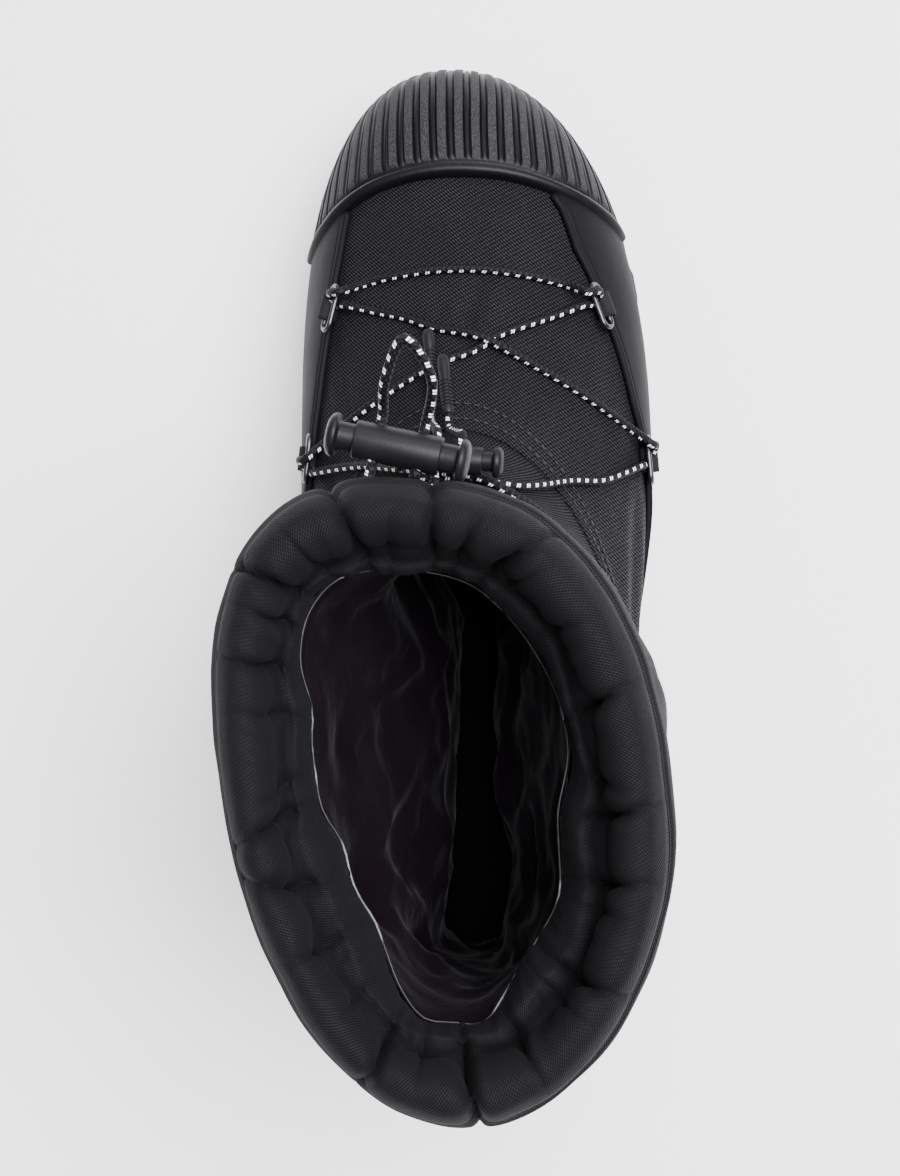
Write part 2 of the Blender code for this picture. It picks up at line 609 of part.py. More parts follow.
def make_ring(number, side, y, ring, seat):
    """A wire ring that stands on edge in a folded tab, and the tab."""
    name = f"{number}_{'lateral' if side > 0 else 'medial'}"
    angle = float(angle_at(y, ring, side))
    foot = skin(angle, ring, seat)
    normal = unit(skin(angle, ring, 1.0) - skin(angle, ring, 0.0))
    along = unit(last_point(angle - side * 0.03, ring) - last_point(angle + side * 0.03, ring))
    out = normal * RING_LEAN + np.array([0.0, 0.0, 1.0]) * (1 - RING_LEAN)
    out = unit(out - along * out.dot(along))
    low = foot + normal * (TAB_THICK / 2) - out * 0.2
    turn = (RING_DEEP - RING_WIRE) / 2
    straight = (RING_LONG - RING_WIRE) / 2 - turn
    centre = low + out * turn
    loop = []
    for end in (1, -1):
        for k in range(5):
            bend = math.radians(-90 * end + 45 * k)
            loop.append(centre + along * (end * straight + turn * math.cos(bend)) + out * turn * math.sin(bend))
    wire("ring_" + name, loop, RING_WIRE, gunmetal, cyclic=True, sides=1)
    across = unit(np.cross(normal, along))
    half, slot = TAB_DEEP / 2, RING_WIRE / 2 + 1.5 * GAP
    fold = [(-half, 0), (-slot, 0), (-slot, TAB_SLOT), (slot, TAB_SLOT), (slot, 0), (half, 0)]
    fold += [(half, TAB_THICK), (-half, TAB_THICK)]
    ends = [[foot + along * end + across * w + normal * h for w, h in fold] for end in (-TAB_LONG / 2, TAB_LONG / 2)]
    count = len(fold)
    faces = grid_faces(2, count, True) + [tuple(range(count)), tuple(range(count, 2 * count))]
    add_mesh("ring_tab_" + name, np.array(ends[0] + ends[1]), faces, webbing, smooth=False)


def turned(name, profile, centre, turn_z, finish):
    """A turned piece from a profile of radius and height, laid down with its axis level and turned in plan."""
    mesh = bpy.data.meshes.new(name)
    points = [(radius * MM, 0, height * MM) for radius, height in profile]
    mesh.from_pydata(points, [(i, i + 1) for i in range(len(points) - 1)], [])
    mesh.materials.append(finish)
    made = bpy.data.objects.new(name, mesh)
    collections["Boot"].objects.link(made)
    modifier(
        made, "SCREW", steps=LOCK_PROFILE_STEPS, render_steps=LOCK_PROFILE_STEPS, use_merge_vertices=True,
        merge_threshold=0.00002, use_smooth_shade=True,
    )
    made.location = [value * MM for value in centre]
    made.rotation_euler = (0, math.radians(90), math.radians(turn_z))
    return made


def make_lock(name, lock, centre, turn_z):
    """A cord lock: a barrel with two cord holes, and a sprung button in each end."""
    half, radius, bore = lock["half"], lock["radius"], lock["neck"] + BORE_GAP
    deep = half - STEM_IN - TRAVEL - GAP
    barrel = turned(name + "_barrel", (
        (0, deep), (bore, deep), (bore, half), (radius - 0.6, half), (radius, half - 0.7),
        (radius, 0.7 - half), (radius - 0.6, -half), (bore, -half), (bore, -deep), (0, -deep),
    ), centre, turn_z, plastic)
    axis = np.array([math.cos(math.radians(turn_z)), math.sin(math.radians(turn_z)), 0.0])
    through = np.array([-axis[1], axis[0], 0.0])
    for side in (1, -1):
        middle = np.array(centre) + axis * side * lock["holes"]
        hole = as_mesh(
            wire("hole", [middle - through * 12, middle + through * 12], lock["bore"], plastic),
            f"{name} hole {side}", "Cutters",
        )
        hole.hide_render = True
        hole.display_type = "WIRE"
        cut(barrel, hole)
    top = lock["gap"] + STEM_IN
    for side, word in ((1, "lateral"), (-1, "medial")):
        button = turned(f"{name}_button_{word}", (
            (0, top + FLANGE_THICK), (lock["flange"] * 0.6, top + FLANGE_THICK),
            (lock["flange"] * 0.92, top + FLANGE_THICK * 0.72), (lock["flange"], top + FLANGE_THICK * 0.35),
            (lock["flange"] * 0.96, top), (lock["neck"], top), (lock["neck"], 0), (0, 0),
        ), np.array(centre) + axis * side * (half - STEM_IN), turn_z, plastic)
        if side < 0:
            button.rotation_euler = (0, math.radians(-90), math.radians(turn_z))
    return axis, through


def make_cords():
    """The lace in its stretches, and the drawcord of the cuff, each clear of what it runs through."""
    wire("lace_bar", line_on_last(LACE_BAR), CORD, cord_black, sides=1)
    make_crossing("lace_cross_front", LACE_FRONT)
    make_crossing("lace_cross_back", LACE_BACK)
    axis, through = make_lock("lace_lock", LACE_LOCK, LACE_LOCK_AT, LACE_LOCK_TURN)
    middle = np.array(LACE_LOCK_AT)
    for side, word in ((1, "lateral"), (-1, "medial")):
        hole = middle + axis * side * LACE_LOCK["holes"]
        approach = line_on_last([(side * knot[0], *knot[1:]) for knot in LACE_RETURN])
        behind, rear, front, ahead = (hole + through * step for step in (-6.8, -4.2, 3.0, 6.5))
        tip_end, tip_start = (np.array(point) for point in TIPS[word])
        heading = unit(tip_end - tip_start)
        knots = [*approach, behind, rear, front, ahead, *TIP_RUNS[word], tip_start - heading * 4, tip_start]
        wire("lace_end_" + word, evenly(smooth_curve(knots), 6.3), CORD, cord_black)
        tip = [tip_start + heading * 0.4, tip_end]
        wire("lace_tip_" + word, tip, TIP_WIDE, plastic)
    make_drawcord()


def make_drawcord():
    """The cuff's cord: out of the channel, through the barrel, round in a loop and back."""
    axis, through = make_lock("cuff_lock", CUFF_LOCK, CUFF_LOCK_AT, CUFF_LOCK_TURN)
    middle = np.array(CUFF_LOCK_AT)
    left, right = (middle + axis * side * CUFF_LOCK["holes"] for side in (-1, 1))
    knots = []
    for hole, side in ((left, -1), (right, 1)):
        root = hole - through * DRAWCORD_BACK[side]
        knots.append([root, hole - through * 2.0, hole + through * 2.0, hole + through * 7.0])
    loop = [np.array(point) for point in DRAWCORD_LOOP]
    line = smooth_curve(knots[0] + loop + knots[1][::-1])
    wire("drawcord", evenly(line, 4.5), CORD, cord_black)


collections = {}


def new_collections():
    for obj in list(bpy.data.objects):
        bpy.data.objects.remove(obj)
    for name in ("Boot", "Cutters"):
        collections[name] = bpy.data.collections.new(name)
        bpy.context.scene.collection.children.link(collections[name])


new_collections()
nylon = material("black nylon", (0.022, 0.022, 0.025), 0.62)
padded_nylon = material("padded nylon", (0.016, 0.016, 0.018), 0.66)
rubber = material("ribbed rubber", (0.03, 0.03, 0.032), 0.55)
coated = material("coated band", (0.04, 0.04, 0.043), 0.42)
footbed = material("footbed", (0.008, 0.008, 0.009), 0.8)
cord_black = material("reflective cord", (0.02, 0.02, 0.022), 0.6)
gunmetal = material("gunmetal wire", (0.12, 0.12, 0.125), 0.3, 1.0)
webbing = material("webbing", (0.02, 0.02, 0.022), 0.8)
plastic = material("lock plastic", (0.03, 0.03, 0.032), 0.45)

make_sole()
make_insole()
make_upper()
make_shaft()
make_cuff()
make_toe_cap()
make_rand()
for number, y, outer_ring, inner_ring, seat in RING_PLACES:
    make_ring(number, 1, y, outer_ring, seat)
    make_ring(number, -1, y, inner_ring, seat)
make_cords()
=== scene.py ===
"""Looks of the apres ski boot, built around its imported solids. Sizes are in millimetres, on the boot's own last."""

import math

import bmesh
import bpy
import numpy as np
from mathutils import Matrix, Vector, noise


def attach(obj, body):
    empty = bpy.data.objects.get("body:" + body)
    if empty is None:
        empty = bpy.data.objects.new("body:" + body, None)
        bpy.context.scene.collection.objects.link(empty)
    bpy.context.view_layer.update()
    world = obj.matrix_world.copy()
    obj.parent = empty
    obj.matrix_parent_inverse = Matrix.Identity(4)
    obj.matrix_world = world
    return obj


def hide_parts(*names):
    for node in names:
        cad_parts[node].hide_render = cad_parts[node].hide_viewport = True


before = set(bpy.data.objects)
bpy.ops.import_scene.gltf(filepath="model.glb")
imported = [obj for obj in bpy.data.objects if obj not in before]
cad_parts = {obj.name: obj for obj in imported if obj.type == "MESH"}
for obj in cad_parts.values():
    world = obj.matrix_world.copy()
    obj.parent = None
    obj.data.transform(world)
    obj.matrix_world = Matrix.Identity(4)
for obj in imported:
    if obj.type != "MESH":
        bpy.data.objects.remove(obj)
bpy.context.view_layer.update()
MM = 0.001

# ---------------------------------------------------------------- view and studio
# The boot stands on a pale floor under one broad soft light, with a weaker one from the toe, and is seen from
# almost straight above, as in a shop photograph.
LENS, VIEW_FROM, VIEW_TILT = 52.05, (0.0205, 0.0689, 0.6075), (1.94, 2.95, 0.06)  # metres, degrees
LIGHT_TINT, DOME_TINT, PAPER_TINT = (1.0, 0.985, 1.06), (0.985, 0.98, 1.0, 1), (0.97, 0.97, 0.96, 1)
DOME_HEIGHTS, DOME_STRENGTHS = (0.02, 0.85), (0.30, 0.85)  # the dome is weaker near the floor


def put(name, data):
    """An object for data, linked into the scene."""
    made = bpy.data.objects.new(name, data)
    bpy.context.collection.objects.link(made)
    return made


def soft_light(name, place, aim, size, watts):
    lamp = bpy.data.lights.new(name, "AREA")
    lamp.size, lamp.energy, lamp.color = size, watts, LIGHT_TINT
    made = put(name, lamp)
    made.location = place
    made.rotation_euler = (Vector(aim) - Vector(place)).to_track_quat("-Z", "Y").to_euler()


camera = put("viewpoint", bpy.data.cameras.new("viewpoint"))
camera.data.lens, camera.data.clip_start = LENS, 0.01
camera.location = VIEW_FROM
camera.rotation_euler = [math.radians(tilt) for tilt in VIEW_TILT]
bpy.context.scene.camera = camera
soft_light("overhead", (0.42, 0.22, 1.5), (0, 0.1, 0.1), 1.0, 84)
soft_light("from the toe", (0.2, 1.3, 1.1), (0, 0.15, 0.05), 0.9, 12)
world = bpy.data.worlds.new("studio")
world.use_nodes = True
world.node_tree.nodes["Background"].inputs["Color"].default_value = DOME_TINT
upward = world.node_tree.nodes.new("ShaderNodeSeparateXYZ")
world.node_tree.links.new(world.node_tree.nodes.new("ShaderNodeTexCoord").outputs["Generated"], upward.inputs[0])
dome = world.node_tree.nodes.new("ShaderNodeMapRange")
for place, value in zip(dome.inputs, (0.0, *DOME_HEIGHTS, *DOME_STRENGTHS)):
    place.default_value = value
world.node_tree.links.new(upward.outputs[2], dome.inputs[0])
world.node_tree.links.new(dome.outputs[0], world.node_tree.nodes["Background"].inputs["Strength"])
bpy.context.scene.world = world

floor_mesh = bpy.data.meshes.new("floor")
floor_mesh.from_pydata([(x * 4, y * 4, 0) for x, y in ((-1, -1), (1, -1), (1, 1), (-1, 1))], [], [(0, 1, 2, 3)])
paper = bpy.data.materials.new("pale floor")
paper.use_nodes = True
paper.node_tree.nodes["Principled BSDF"].inputs["Base Color"].default_value = PAPER_TINT
paper.node_tree.nodes["Principled BSDF"].inputs["Roughness"].default_value = 0.9
floor_mesh.materials.append(paper)
put("floor", floor_mesh)

# ---------------------------------------------------------------- cup sole
# Black rubber, moulded in one piece with its lugs, ribbed side and rim, and cemented to the upper. Its surface is
# dull and finely stippled. The solid has its shape, so it keeps its mesh and only gets its finish.


class Tone:
    """One socket of a finish. Arithmetic on tones adds Math nodes."""

    def __init__(self, tree, socket):
        self.tree, self.socket = tree, socket

    def maths(self, operation, *values):
        node = self.tree.nodes.new("ShaderNodeMath")
        node.operation = operation
        for place, value in zip(node.inputs, values):
            join(self.tree, place, value)
        return Tone(self.tree, node.outputs[0])

    def __add__(self, other):
        return self.maths("ADD", self, other)

    def __sub__(self, other):
        return self.maths("SUBTRACT", self, other)

    def __rsub__(self, other):
        return self.maths("SUBTRACT", other, self)

    def __mul__(self, other):
        return self.maths("MULTIPLY", self, other)

    def __truediv__(self, other):
        return self.maths("DIVIDE", self, other)

    __radd__, __rmul__ = __add__, __mul__

    def sine(self):
        return self.maths("SINE", self)

    def size(self):
        return self.maths("ABSOLUTE", self)

    def fraction(self):
        return self.maths("FRACT", self)

    def ramp(self, low, high):
        """0 below low and 1 above high, smoothly between."""
        node = self.tree.nodes.new("ShaderNodeMapRange")
        node.interpolation_type = "SMOOTHSTEP"
        for place, value in zip(node.inputs, (self, low, high, 0.0, 1.0)):
            join(self.tree, place, value)
        return Tone(self.tree, node.outputs[0])


def join(tree, place, value):
    if isinstance(value, Tone):
        tree.links.new(value.socket, place)
    else:
        place.default_value = value


class Finish:
    """A material: constants on the shader's own sockets, and whatever varies worked out by nodes."""

    def __init__(self, name, **constants):
        self.material = bpy.data.materials.new(name)
        self.material.use_nodes = True
        self.tree = self.material.node_tree
        self.shader = self.tree.nodes["Principled BSDF"]
        for key, value in constants.items():
            self.shader.inputs[key.replace("_", " ")].default_value = value
        self.place = self.node("TexCoord", out="Object")
        self.across, self.along, _ = self.parts(self.node("TexCoord", out="UV"))

    def node(self, kind, settings=None, out=0, **inputs):
        """Any node by its type: its settings first, then the values or links of its sockets."""
        made = self.tree.nodes.new("ShaderNode" + kind)
        for key, value in (settings or {}).items():
            setattr(made, key, value)
        for key, value in inputs.items():
            join(self.tree, made.inputs[key.replace("_", " ")], value)
        return Tone(self.tree, made.outputs[out])

    def parts(self, place):
        """The three coordinates of a place."""
        split = self.tree.nodes.new("ShaderNodeSeparateXYZ")
        join(self.tree, split.inputs[0], place)
        return [Tone(self.tree, way) for way in split.outputs]

    def speckle(self, scale, detail=2.0, rough=0.5):
        """Soft noise from 0 to 1. scale counts its cells in a metre."""
        return self.node("TexNoise", Vector=self.place, Scale=scale, Detail=detail, Roughness=rough)

    def blend(self, share, low, high):
        """A colour between two, by a tone."""
        mix = self.tree.nodes.new("ShaderNodeMix")
        mix.data_type = "RGBA"
        for place, value in ((0, share), (6, low), (7, high)):
            join(self.tree, mix.inputs[place], value if isinstance(value, Tone) else (*value, 1) if place else value)
        return Tone(self.tree, mix.outputs[2])

    def set(self, **links):
        for key, value in links.items():
            join(self.tree, self.shader.inputs[key.replace("_", " ")], value)

    def relief(self, *layers):
        """Bumps laid over each other, each a tone and its depth in millimetres."""
        normal = None
        for height, depth in layers:
            bump = self.tree.nodes.new("ShaderNodeBump")
            join(self.tree, bump.inputs["Height"], height)
            bump.inputs["Distance"].default_value = depth * MM
            if normal:
                join(self.tree, bump.inputs["Normal"], normal)
            normal = Tone(self.tree, bump.outputs[0])
        self.set(Normal=normal)


def fit(piece, slot, *nodes, body="boot"):
    """A finished piece rides on its body and stands for its solids. Its slot is not used."""
    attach(piece, body)
    if nodes:
        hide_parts(*nodes)
    return piece


def refinish(node, finish):
    """A solid that keeps its shape gets its finish."""
    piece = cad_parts[node]
    piece.data.materials.clear()
    piece.data.materials.append(finish.material)
    for face in piece.data.polygons:
        face.material_index = 0


sole_rubber = Finish("sole rubber", Specular_IOR_Level=0.14)
stipple = sole_rubber.speckle(1500, 1.0)
cloud = sole_rubber.speckle(45, 3.0)
sole_rubber.set(
    Base_Color=sole_rubber.blend(stipple.ramp(0.35, 0.75), (0.0018, 0.0018, 0.0020), (0.0085, 0.0085, 0.0092)),
    Roughness=0.56 + 0.16 * cloud,
)
sole_rubber.relief((stipple, 0.10))
refinish("outsole", sole_rubber)

# ---------------------------------------------------------------- footbed
# A flat board covered with black cloth, laid in the sole's tray. Its top is bare and dark, deep inside the boot.
footbed_cloth = Finish("footbed cloth", Roughness=0.95, Specular_IOR_Level=0.05)
nap = footbed_cloth.speckle(2200, 2.0)
footbed_cloth.set(Base_Color=footbed_cloth.blend(nap, (0.0007, 0.0007, 0.0008), (0.0018, 0.0018, 0.0020)))
footbed_cloth.relief((nap, 0.15))
refinish("insole", footbed_cloth)

# ---------------------------------------------------------------- upper: vamp and quarters
# Black nylon with a fine diagonal weave, drawn over the last and sewn to the shaft along an arch above the instep.
# The cloth puckers a little where the lace pulls it and where it meets the arch.
RING_COLUMNS = (
    "front_x", "front_y", "front_z", "back_x", "back_y", "back_z",
    "half", "wide_at", "heel_at", "heel_share", "nose", "sweep", "rise", "sag",
)
RINGS = (
    (-8.0, 256.0, 37.0, 0.0, -36.0, 38.0, 52.0, 0.68, 0.16, 0.78, 2.15, 5.0, 1.0, 7.0),  # feather line
    (-8.0, 257.5, 46.0, 0.0, -37.5, 47.0, 53.5, 0.67, 0.16, 0.79, 2.15, 5.0, 1.0, 7.0),  # top of the sole's rim
    (-8.0, 253.5, 58.0, 1.0, -38.0, 56.0, 54.5, 0.62, 0.17, 0.80, 2.12, 5.0, 1.2, 4.0),
    (-7.5, 244.0, 68.0, 1.5, -37.5, 64.0, 54.0, 0.56, 0.18, 0.82, 2.08, 4.5, 1.4, 2.0),
    (-7.0, 230.0, 75.5, 1.5, -36.5, 71.0, 52.8, 0.51, 0.19, 0.83, 2.04, 4.0, 1.6, 1.0),
    (-6.0, 212.0, 80.5, 1.5, -35.5, 77.0, 51.2, 0.49, 0.20, 0.84, 2.0, 3.5, 1.8, 0.5),
    (-5.0, 186.0, 86.0, 1.5, -35.0, 83.0, 50.0, 0.48, 0.22, 0.85, 2.0, 3.0, 2.0, 0.0),
    (-4.0, 159.0, 94.0, 1.5, -35.0, 89.0, 49.0, 0.48, 0.25, 0.86, 2.0, 2.5, 2.2, 0.0),
    (-4.0, 133.0, 107.0, 1.5, -35.0, 95.0, 48.0, 0.50, 0.28, 0.88, 2.0, 2.0, 2.2, 0.0),  # seam of vamp and shaft
    (-5.0, 118.0, 122.0, 1.5, -35.5, 112.0, 48.0, 0.50, 0.31, 0.92, 2.1, 1.8, 1.8, 0.0),
    (-7.0, 110.0, 140.0, 2.0, -37.0, 133.0, 49.5, 0.50, 0.34, 0.96, 2.2, 1.9, 1.5, 0.0),
    (-10.0, 108.0, 161.0, 1.0, -40.0, 156.0, 52.2, 0.52, 0.42, 0.99, 2.4, 2.0, 1.2, 0.0),
    (-12.5, 108.0, 186.0, 0.5, -43.0, 186.0, 53.6, 0.54, 0.50, 1.0, 2.5, 2.2, 1.0, 0.0),  # foot of the cuff
)
HEEL_CURVE = 2.1
RIM, SEAM, CUFF_FOOT = 1.0, 8.0, 12.0
OVER_RIM = RIM + 0.06
LAST = {name: np.array([row[i] for row in RINGS], float) for i, name in enumerate(RING_COLUMNS)}


def smooth_column(values, at):
    """A smooth curve through evenly numbered values that never overshoots them."""
    step = np.diff(values)
    slope = np.zeros_like(values)
    both = step[:-1] * step[1:] > 0
    slope[1:-1][both] = 2 * step[:-1][both] * step[1:][both] / (step[:-1] + step[1:])[both]
    slope[0], slope[-1] = step[0], step[-1]
    at = np.clip(at, 0, len(values) - 1)
    low = np.minimum(np.floor(at).astype(int), len(values) - 2)
    s = at - low
    return (
        (2 * s**3 - 3 * s**2 + 1) * values[low] + (s**3 - 2 * s**2 + s) * slope[low]
        + (3 * s**2 - 2 * s**3) * values[low + 1] + (s**3 - s**2) * slope[low + 1]
    )


def last_point(angle, ring, grow=0.0):
    """A point of the last by its angle, 0 at the toe and a quarter turn on the outer side, and its ring."""
    angle, ring = np.broadcast_arrays(np.asarray(angle, float), np.asarray(ring, float))
    share, side = 0.5 + 0.5 * np.cos(angle), np.where(np.sin(angle) >= 0, 1.0, -1.0)
    c = {name: smooth_column(values, ring) for name, values in LAST.items()}
    nose = np.clip((share - c["wide_at"]) / (1 - c["wide_at"]), 0, 1)
    heel = np.clip((c["heel_at"] - share) / c["heel_at"], 0, 1)
    middle = np.clip((share - c["heel_at"]) / (c["wide_at"] - c["heel_at"]), 0, 1)
    middle = middle * middle * (3 - 2 * middle)
    width = (c["heel_share"] + (1 - c["heel_share"]) * middle) * (1 - nose ** c["nose"]) ** (1 / c["nose"])
    width = width * (1 - heel**HEEL_CURVE) ** (1 / HEEL_CURVE)
    back_y, front_y = c["back_y"] - grow, c["front_y"] + grow
    x = c["back_x"] + (c["front_x"] - c["back_x"]) * share ** c["sweep"] + side * width * (c["half"] + grow)
    z = c["back_z"] + (c["front_z"] - c["back_z"]) * share ** c["rise"] - c["sag"] * np.sin(math.pi * share)
    return np.stack([x, back_y + (front_y - back_y) * share, z], axis=-1)


def skin(angle, ring, out):
    """A point that lies out millimetres outside the last."""
    angle, ring = np.broadcast_arrays(np.asarray(angle, float), np.asarray(ring, float))
    d, top = 0.02, len(RINGS) - 1
    around = last_point(angle + d, ring) - last_point(angle - d, ring)
    up = last_point(angle, np.minimum(ring + d, top)) - last_point(angle, np.maximum(ring - d, 0))
    normal = np.cross(up, around)
    normal /= np.maximum(np.linalg.norm(normal, axis=-1, keepdims=True), 1e-9)
    return last_point(angle, ring) + np.asarray(out, float)[..., None] * normal


def angle_at(y, ring, side):
    """The angle around a ring at which it passes y, on one side."""
    back, front = smooth_column(LAST["back_y"], ring), smooth_column(LAST["front_y"], ring)
    return side * np.arccos(2 * np.clip((y - back) / (front - back), 0, 1) - 1)


def turn(count):
    """Angles once round the boot, starting at the toe."""
    return np.arange(count) * 2 * math.pi / count


def lengths(points):
    return np.concatenate([[0], np.cumsum(np.linalg.norm(np.diff(points, axis=0), axis=1))])


def surface(name, rows, finish, closed=True, inside=False, across=None, along=None):
    """A surface from rows of points, with a UV map that counts millimetres across and along it."""
    rows = np.asarray(rows, float)
    count, columns = rows.shape[:2]
    spans = columns if closed else columns - 1
    if across is None:
        step = np.linalg.norm(np.roll(rows, -1, axis=1) - rows, axis=2).mean(axis=0)[:spans]
        across = np.concatenate([[0], np.cumsum(step)])
    if along is None:
        along = np.concatenate([[0], np.cumsum(np.linalg.norm(np.diff(rows, axis=0), axis=2).mean(axis=1))])
    r, c = np.meshgrid(np.arange(count - 1), np.arange(spans), indexing="ij")
    corners = [(0, 0), (1, 0), (1, 1), (0, 1)]
    corners = corners[::-1] if inside else corners
    faces = np.stack([(r + up) * columns + (c + on) % columns for up, on in corners], -1).reshape(-1, 4)
    places = np.stack([np.stack([across[c + on], along[r + up]], -1) for up, on in corners], 2).reshape(-1)
    mesh = bpy.data.meshes.new(name)
    mesh.from_pydata((rows.reshape(-1, 3) * MM).tolist(), [], faces.tolist())
    mesh.uv_layers.new(name="UVMap").data.foreach_set("uv", places)
    mesh.materials.append(finish.material)
    mesh.shade_smooth()
    return put(name, mesh)


def thicken(piece, wall, offset=-1):
    made = piece.modifiers.new("wall", "SOLIDIFY")
    made.thickness, made.offset = wall * MM, offset


def rumple(points, size, seed, stretch=(1, 1, 1)):
    """Soft irregular heights from -1 to 1 over points, about size millimetres apart."""
    shape = points.shape[:-1]
    flat = points.reshape(-1, 3) / size * np.array(stretch) + seed
    return np.array([noise.noise(Vector(place)) for place in flat]).reshape(shape)


def on_last(knots):
    """A line on the last through knots of degrees and ring."""
    knots = np.array(knots, float)
    t = np.linspace(0, len(knots) - 1, 12 * len(knots))
    degrees, ring = (np.interp(t, np.arange(len(knots)), knots[:, i]) for i in (0, 1))
    return last_point(np.radians(degrees), ring)


def creases(points, folds):
    """Heights of soft troughs, each with a low ridge on both sides. A fold is its knots, its width and its depth."""
    heights = np.zeros(points.shape[:-1])
    for knots, wide, deep in folds:
        line = on_last(knots)
        walked = lengths(line)
        count = max(int(walked[-1] / (wide * 0.5)), 6)
        steps = np.linspace(0, walked[-1], count)
        line = np.stack([np.interp(steps, walked, line[:, i]) for i in range(3)], -1)
        near = np.full(heights.shape, 1e9)
        strength = np.zeros(heights.shape)
        for i, place in enumerate(line):
            gap = np.linalg.norm(points - place, axis=-1)
            closer = gap < near
            near = np.where(closer, gap, near)
            strength = np.where(closer, math.sin(math.pi * (i + 0.6) / (count + 0.2)) ** 0.6, strength)
        trough = np.exp(-(near / wide) ** 2)
        ridge = 0.4 * np.exp(-((near - 2.1 * wide) / wide) ** 2)
        heights -= deep * strength * (trough - ridge)
    return heights


def both_sides(*folds):
    """Folds of the outer side, each with its mirror image on the inner side."""
    return [([(degrees * side, ring) for degrees, ring in knots], wide, deep)
            for knots, wide, deep in folds for side in (1, -1)]


VAMP_ROWS, VAMP_COLUMNS, VAMP_WALL, VAMP_FOOT = 146, 340, 1.2, 0.6  # the last is the ring at which it starts
NYLON_GROOVE_SHADE, NYLON_LIGHT, NYLON_PITCH = (0.0003, 0.0003, 0.0004), (0.0175, 0.0170, 0.0200), 1.15


def weave(finish, pitch, slope=1.0, dark=NYLON_GROOVE_SHADE, light=NYLON_LIGHT, depth=0.30, plan=False):
    """A diagonal weave: raised threads side by side, broken by the threads that cross them, with painted shade in the
    grooves between the threads. Laid out in plan, or else along the piece's own UV map."""
    warp, weft = finish.across, finish.along
    if plan:
        x, y, _ = finish.parts(finish.place)
        warp, weft = y / MM, x / MM
    ridge = ((warp + weft * slope) * (math.tau / pitch)).sine() * 0.5 + 0.5
    breaks = ((warp - weft * (0.6 / slope)) * (math.tau / (pitch * 1.3))).sine() * 0.5 + 0.5
    uneven = finish.speckle(1100, 1.0)
    thread = (ridge * (0.35 + 0.65 * breaks) * (0.45 + uneven)).ramp(0.12, 0.62)
    patch = finish.speckle(60, 3.0)
    # Painted shade: the grooves between the threads take the dark colour, and the thread crests the light one.
    finish.set(
        Base_Color=finish.blend(thread * (0.6 + 0.6 * patch), dark, light),
        Roughness=0.62 + 0.2 * (1 - thread),
    )
    finish.relief((finish.speckle(160, 3.0), 0.25), (thread, depth))


nylon = Finish("vamp nylon", Sheen_Weight=0.01, Sheen_Roughness=0.4, Specular_IOR_Level=0.10)
weave(nylon, NYLON_PITCH, plan=True)
VAMP_FOLDS = (  # knots by degrees and ring, width, depth
    (((10, 5.9), (6, 6.4), (2, 7.0)), 2.6, 0.9),
    (((18, 6.6), (11, 7.1), (6, 7.6)), 2.2, 0.8),
    (((-20, 6.2), (-12, 6.9), (-8, 7.5)), 2.6, 0.7),
    (((38, 6.4), (30, 7.0), (26, 7.5)), 2.4, 0.6),
    (((52, 5.0), (48, 5.9), (44, 6.7)), 2.4, 0.6),
    (((-54, 4.8), (-50, 5.6), (-46, 6.5)), 2.4, 0.7),
    (((62, 4.6), (60, 5.6), (58, 6.6)), 2.4, 0.6),
    (((-66, 5.6), (-60, 6.4), (-54, 7.2)), 2.4, 0.6),
    (((80, 4.4), (84, 5.6), (88, 7.0)), 3.2, 0.9),
    (((-80, 4.6), (-84, 5.8), (-88, 7.0)), 3.2, 0.9),
    *both_sides(
        (((150, 3.4), (120, 3.8), (100, 3.6)), 4.0, 1.0),
        (((170, 5.2), (140, 5.4), (112, 5.0)), 4.5, 1.2),
    ),
)
vamp_levels = np.linspace(VAMP_FOOT, SEAM, VAMP_ROWS)[:, None]
vamp_angles = turn(VAMP_COLUMNS)
base = last_point(vamp_angles, vamp_levels)
lift = creases(base, VAMP_FOLDS) + 0.45 * rumple(base, 22, 3.1)
lift *= np.clip((SEAM - vamp_levels) / 0.5, 0, 1) * np.clip((vamp_levels - 1.0) / 1.0, 0, 1)
upper = surface("vamp_and_quarters", skin(vamp_angles, vamp_levels, lift), nylon)
thicken(upper, VAMP_WALL)
fit(upper, "upper", "upper")

# ---------------------------------------------------------------- seam rows
# Black thread in short raised stitches: two rows along the arch seam and one along each raw edge of the side bands.


def new_tree(name, **inputs):
    """An empty tree of geometry nodes with named inputs."""
    tree = bpy.data.node_groups.new(name, "GeometryNodeTree")
    tree.interface.new_socket("Geometry", in_out="INPUT", socket_type="NodeSocketGeometry")
    tree.interface.new_socket("Geometry", in_out="OUTPUT", socket_type="NodeSocketGeometry")
    for key, (kind, value) in inputs.items():
        made = tree.interface.new_socket(key.replace("_", " "), in_out="INPUT", socket_type="NodeSocket" + kind)
        if value is not None:
            made.default_value = value
    return tree, tree.nodes.new("NodeGroupInput"), tree.nodes.new("NodeGroupOutput")


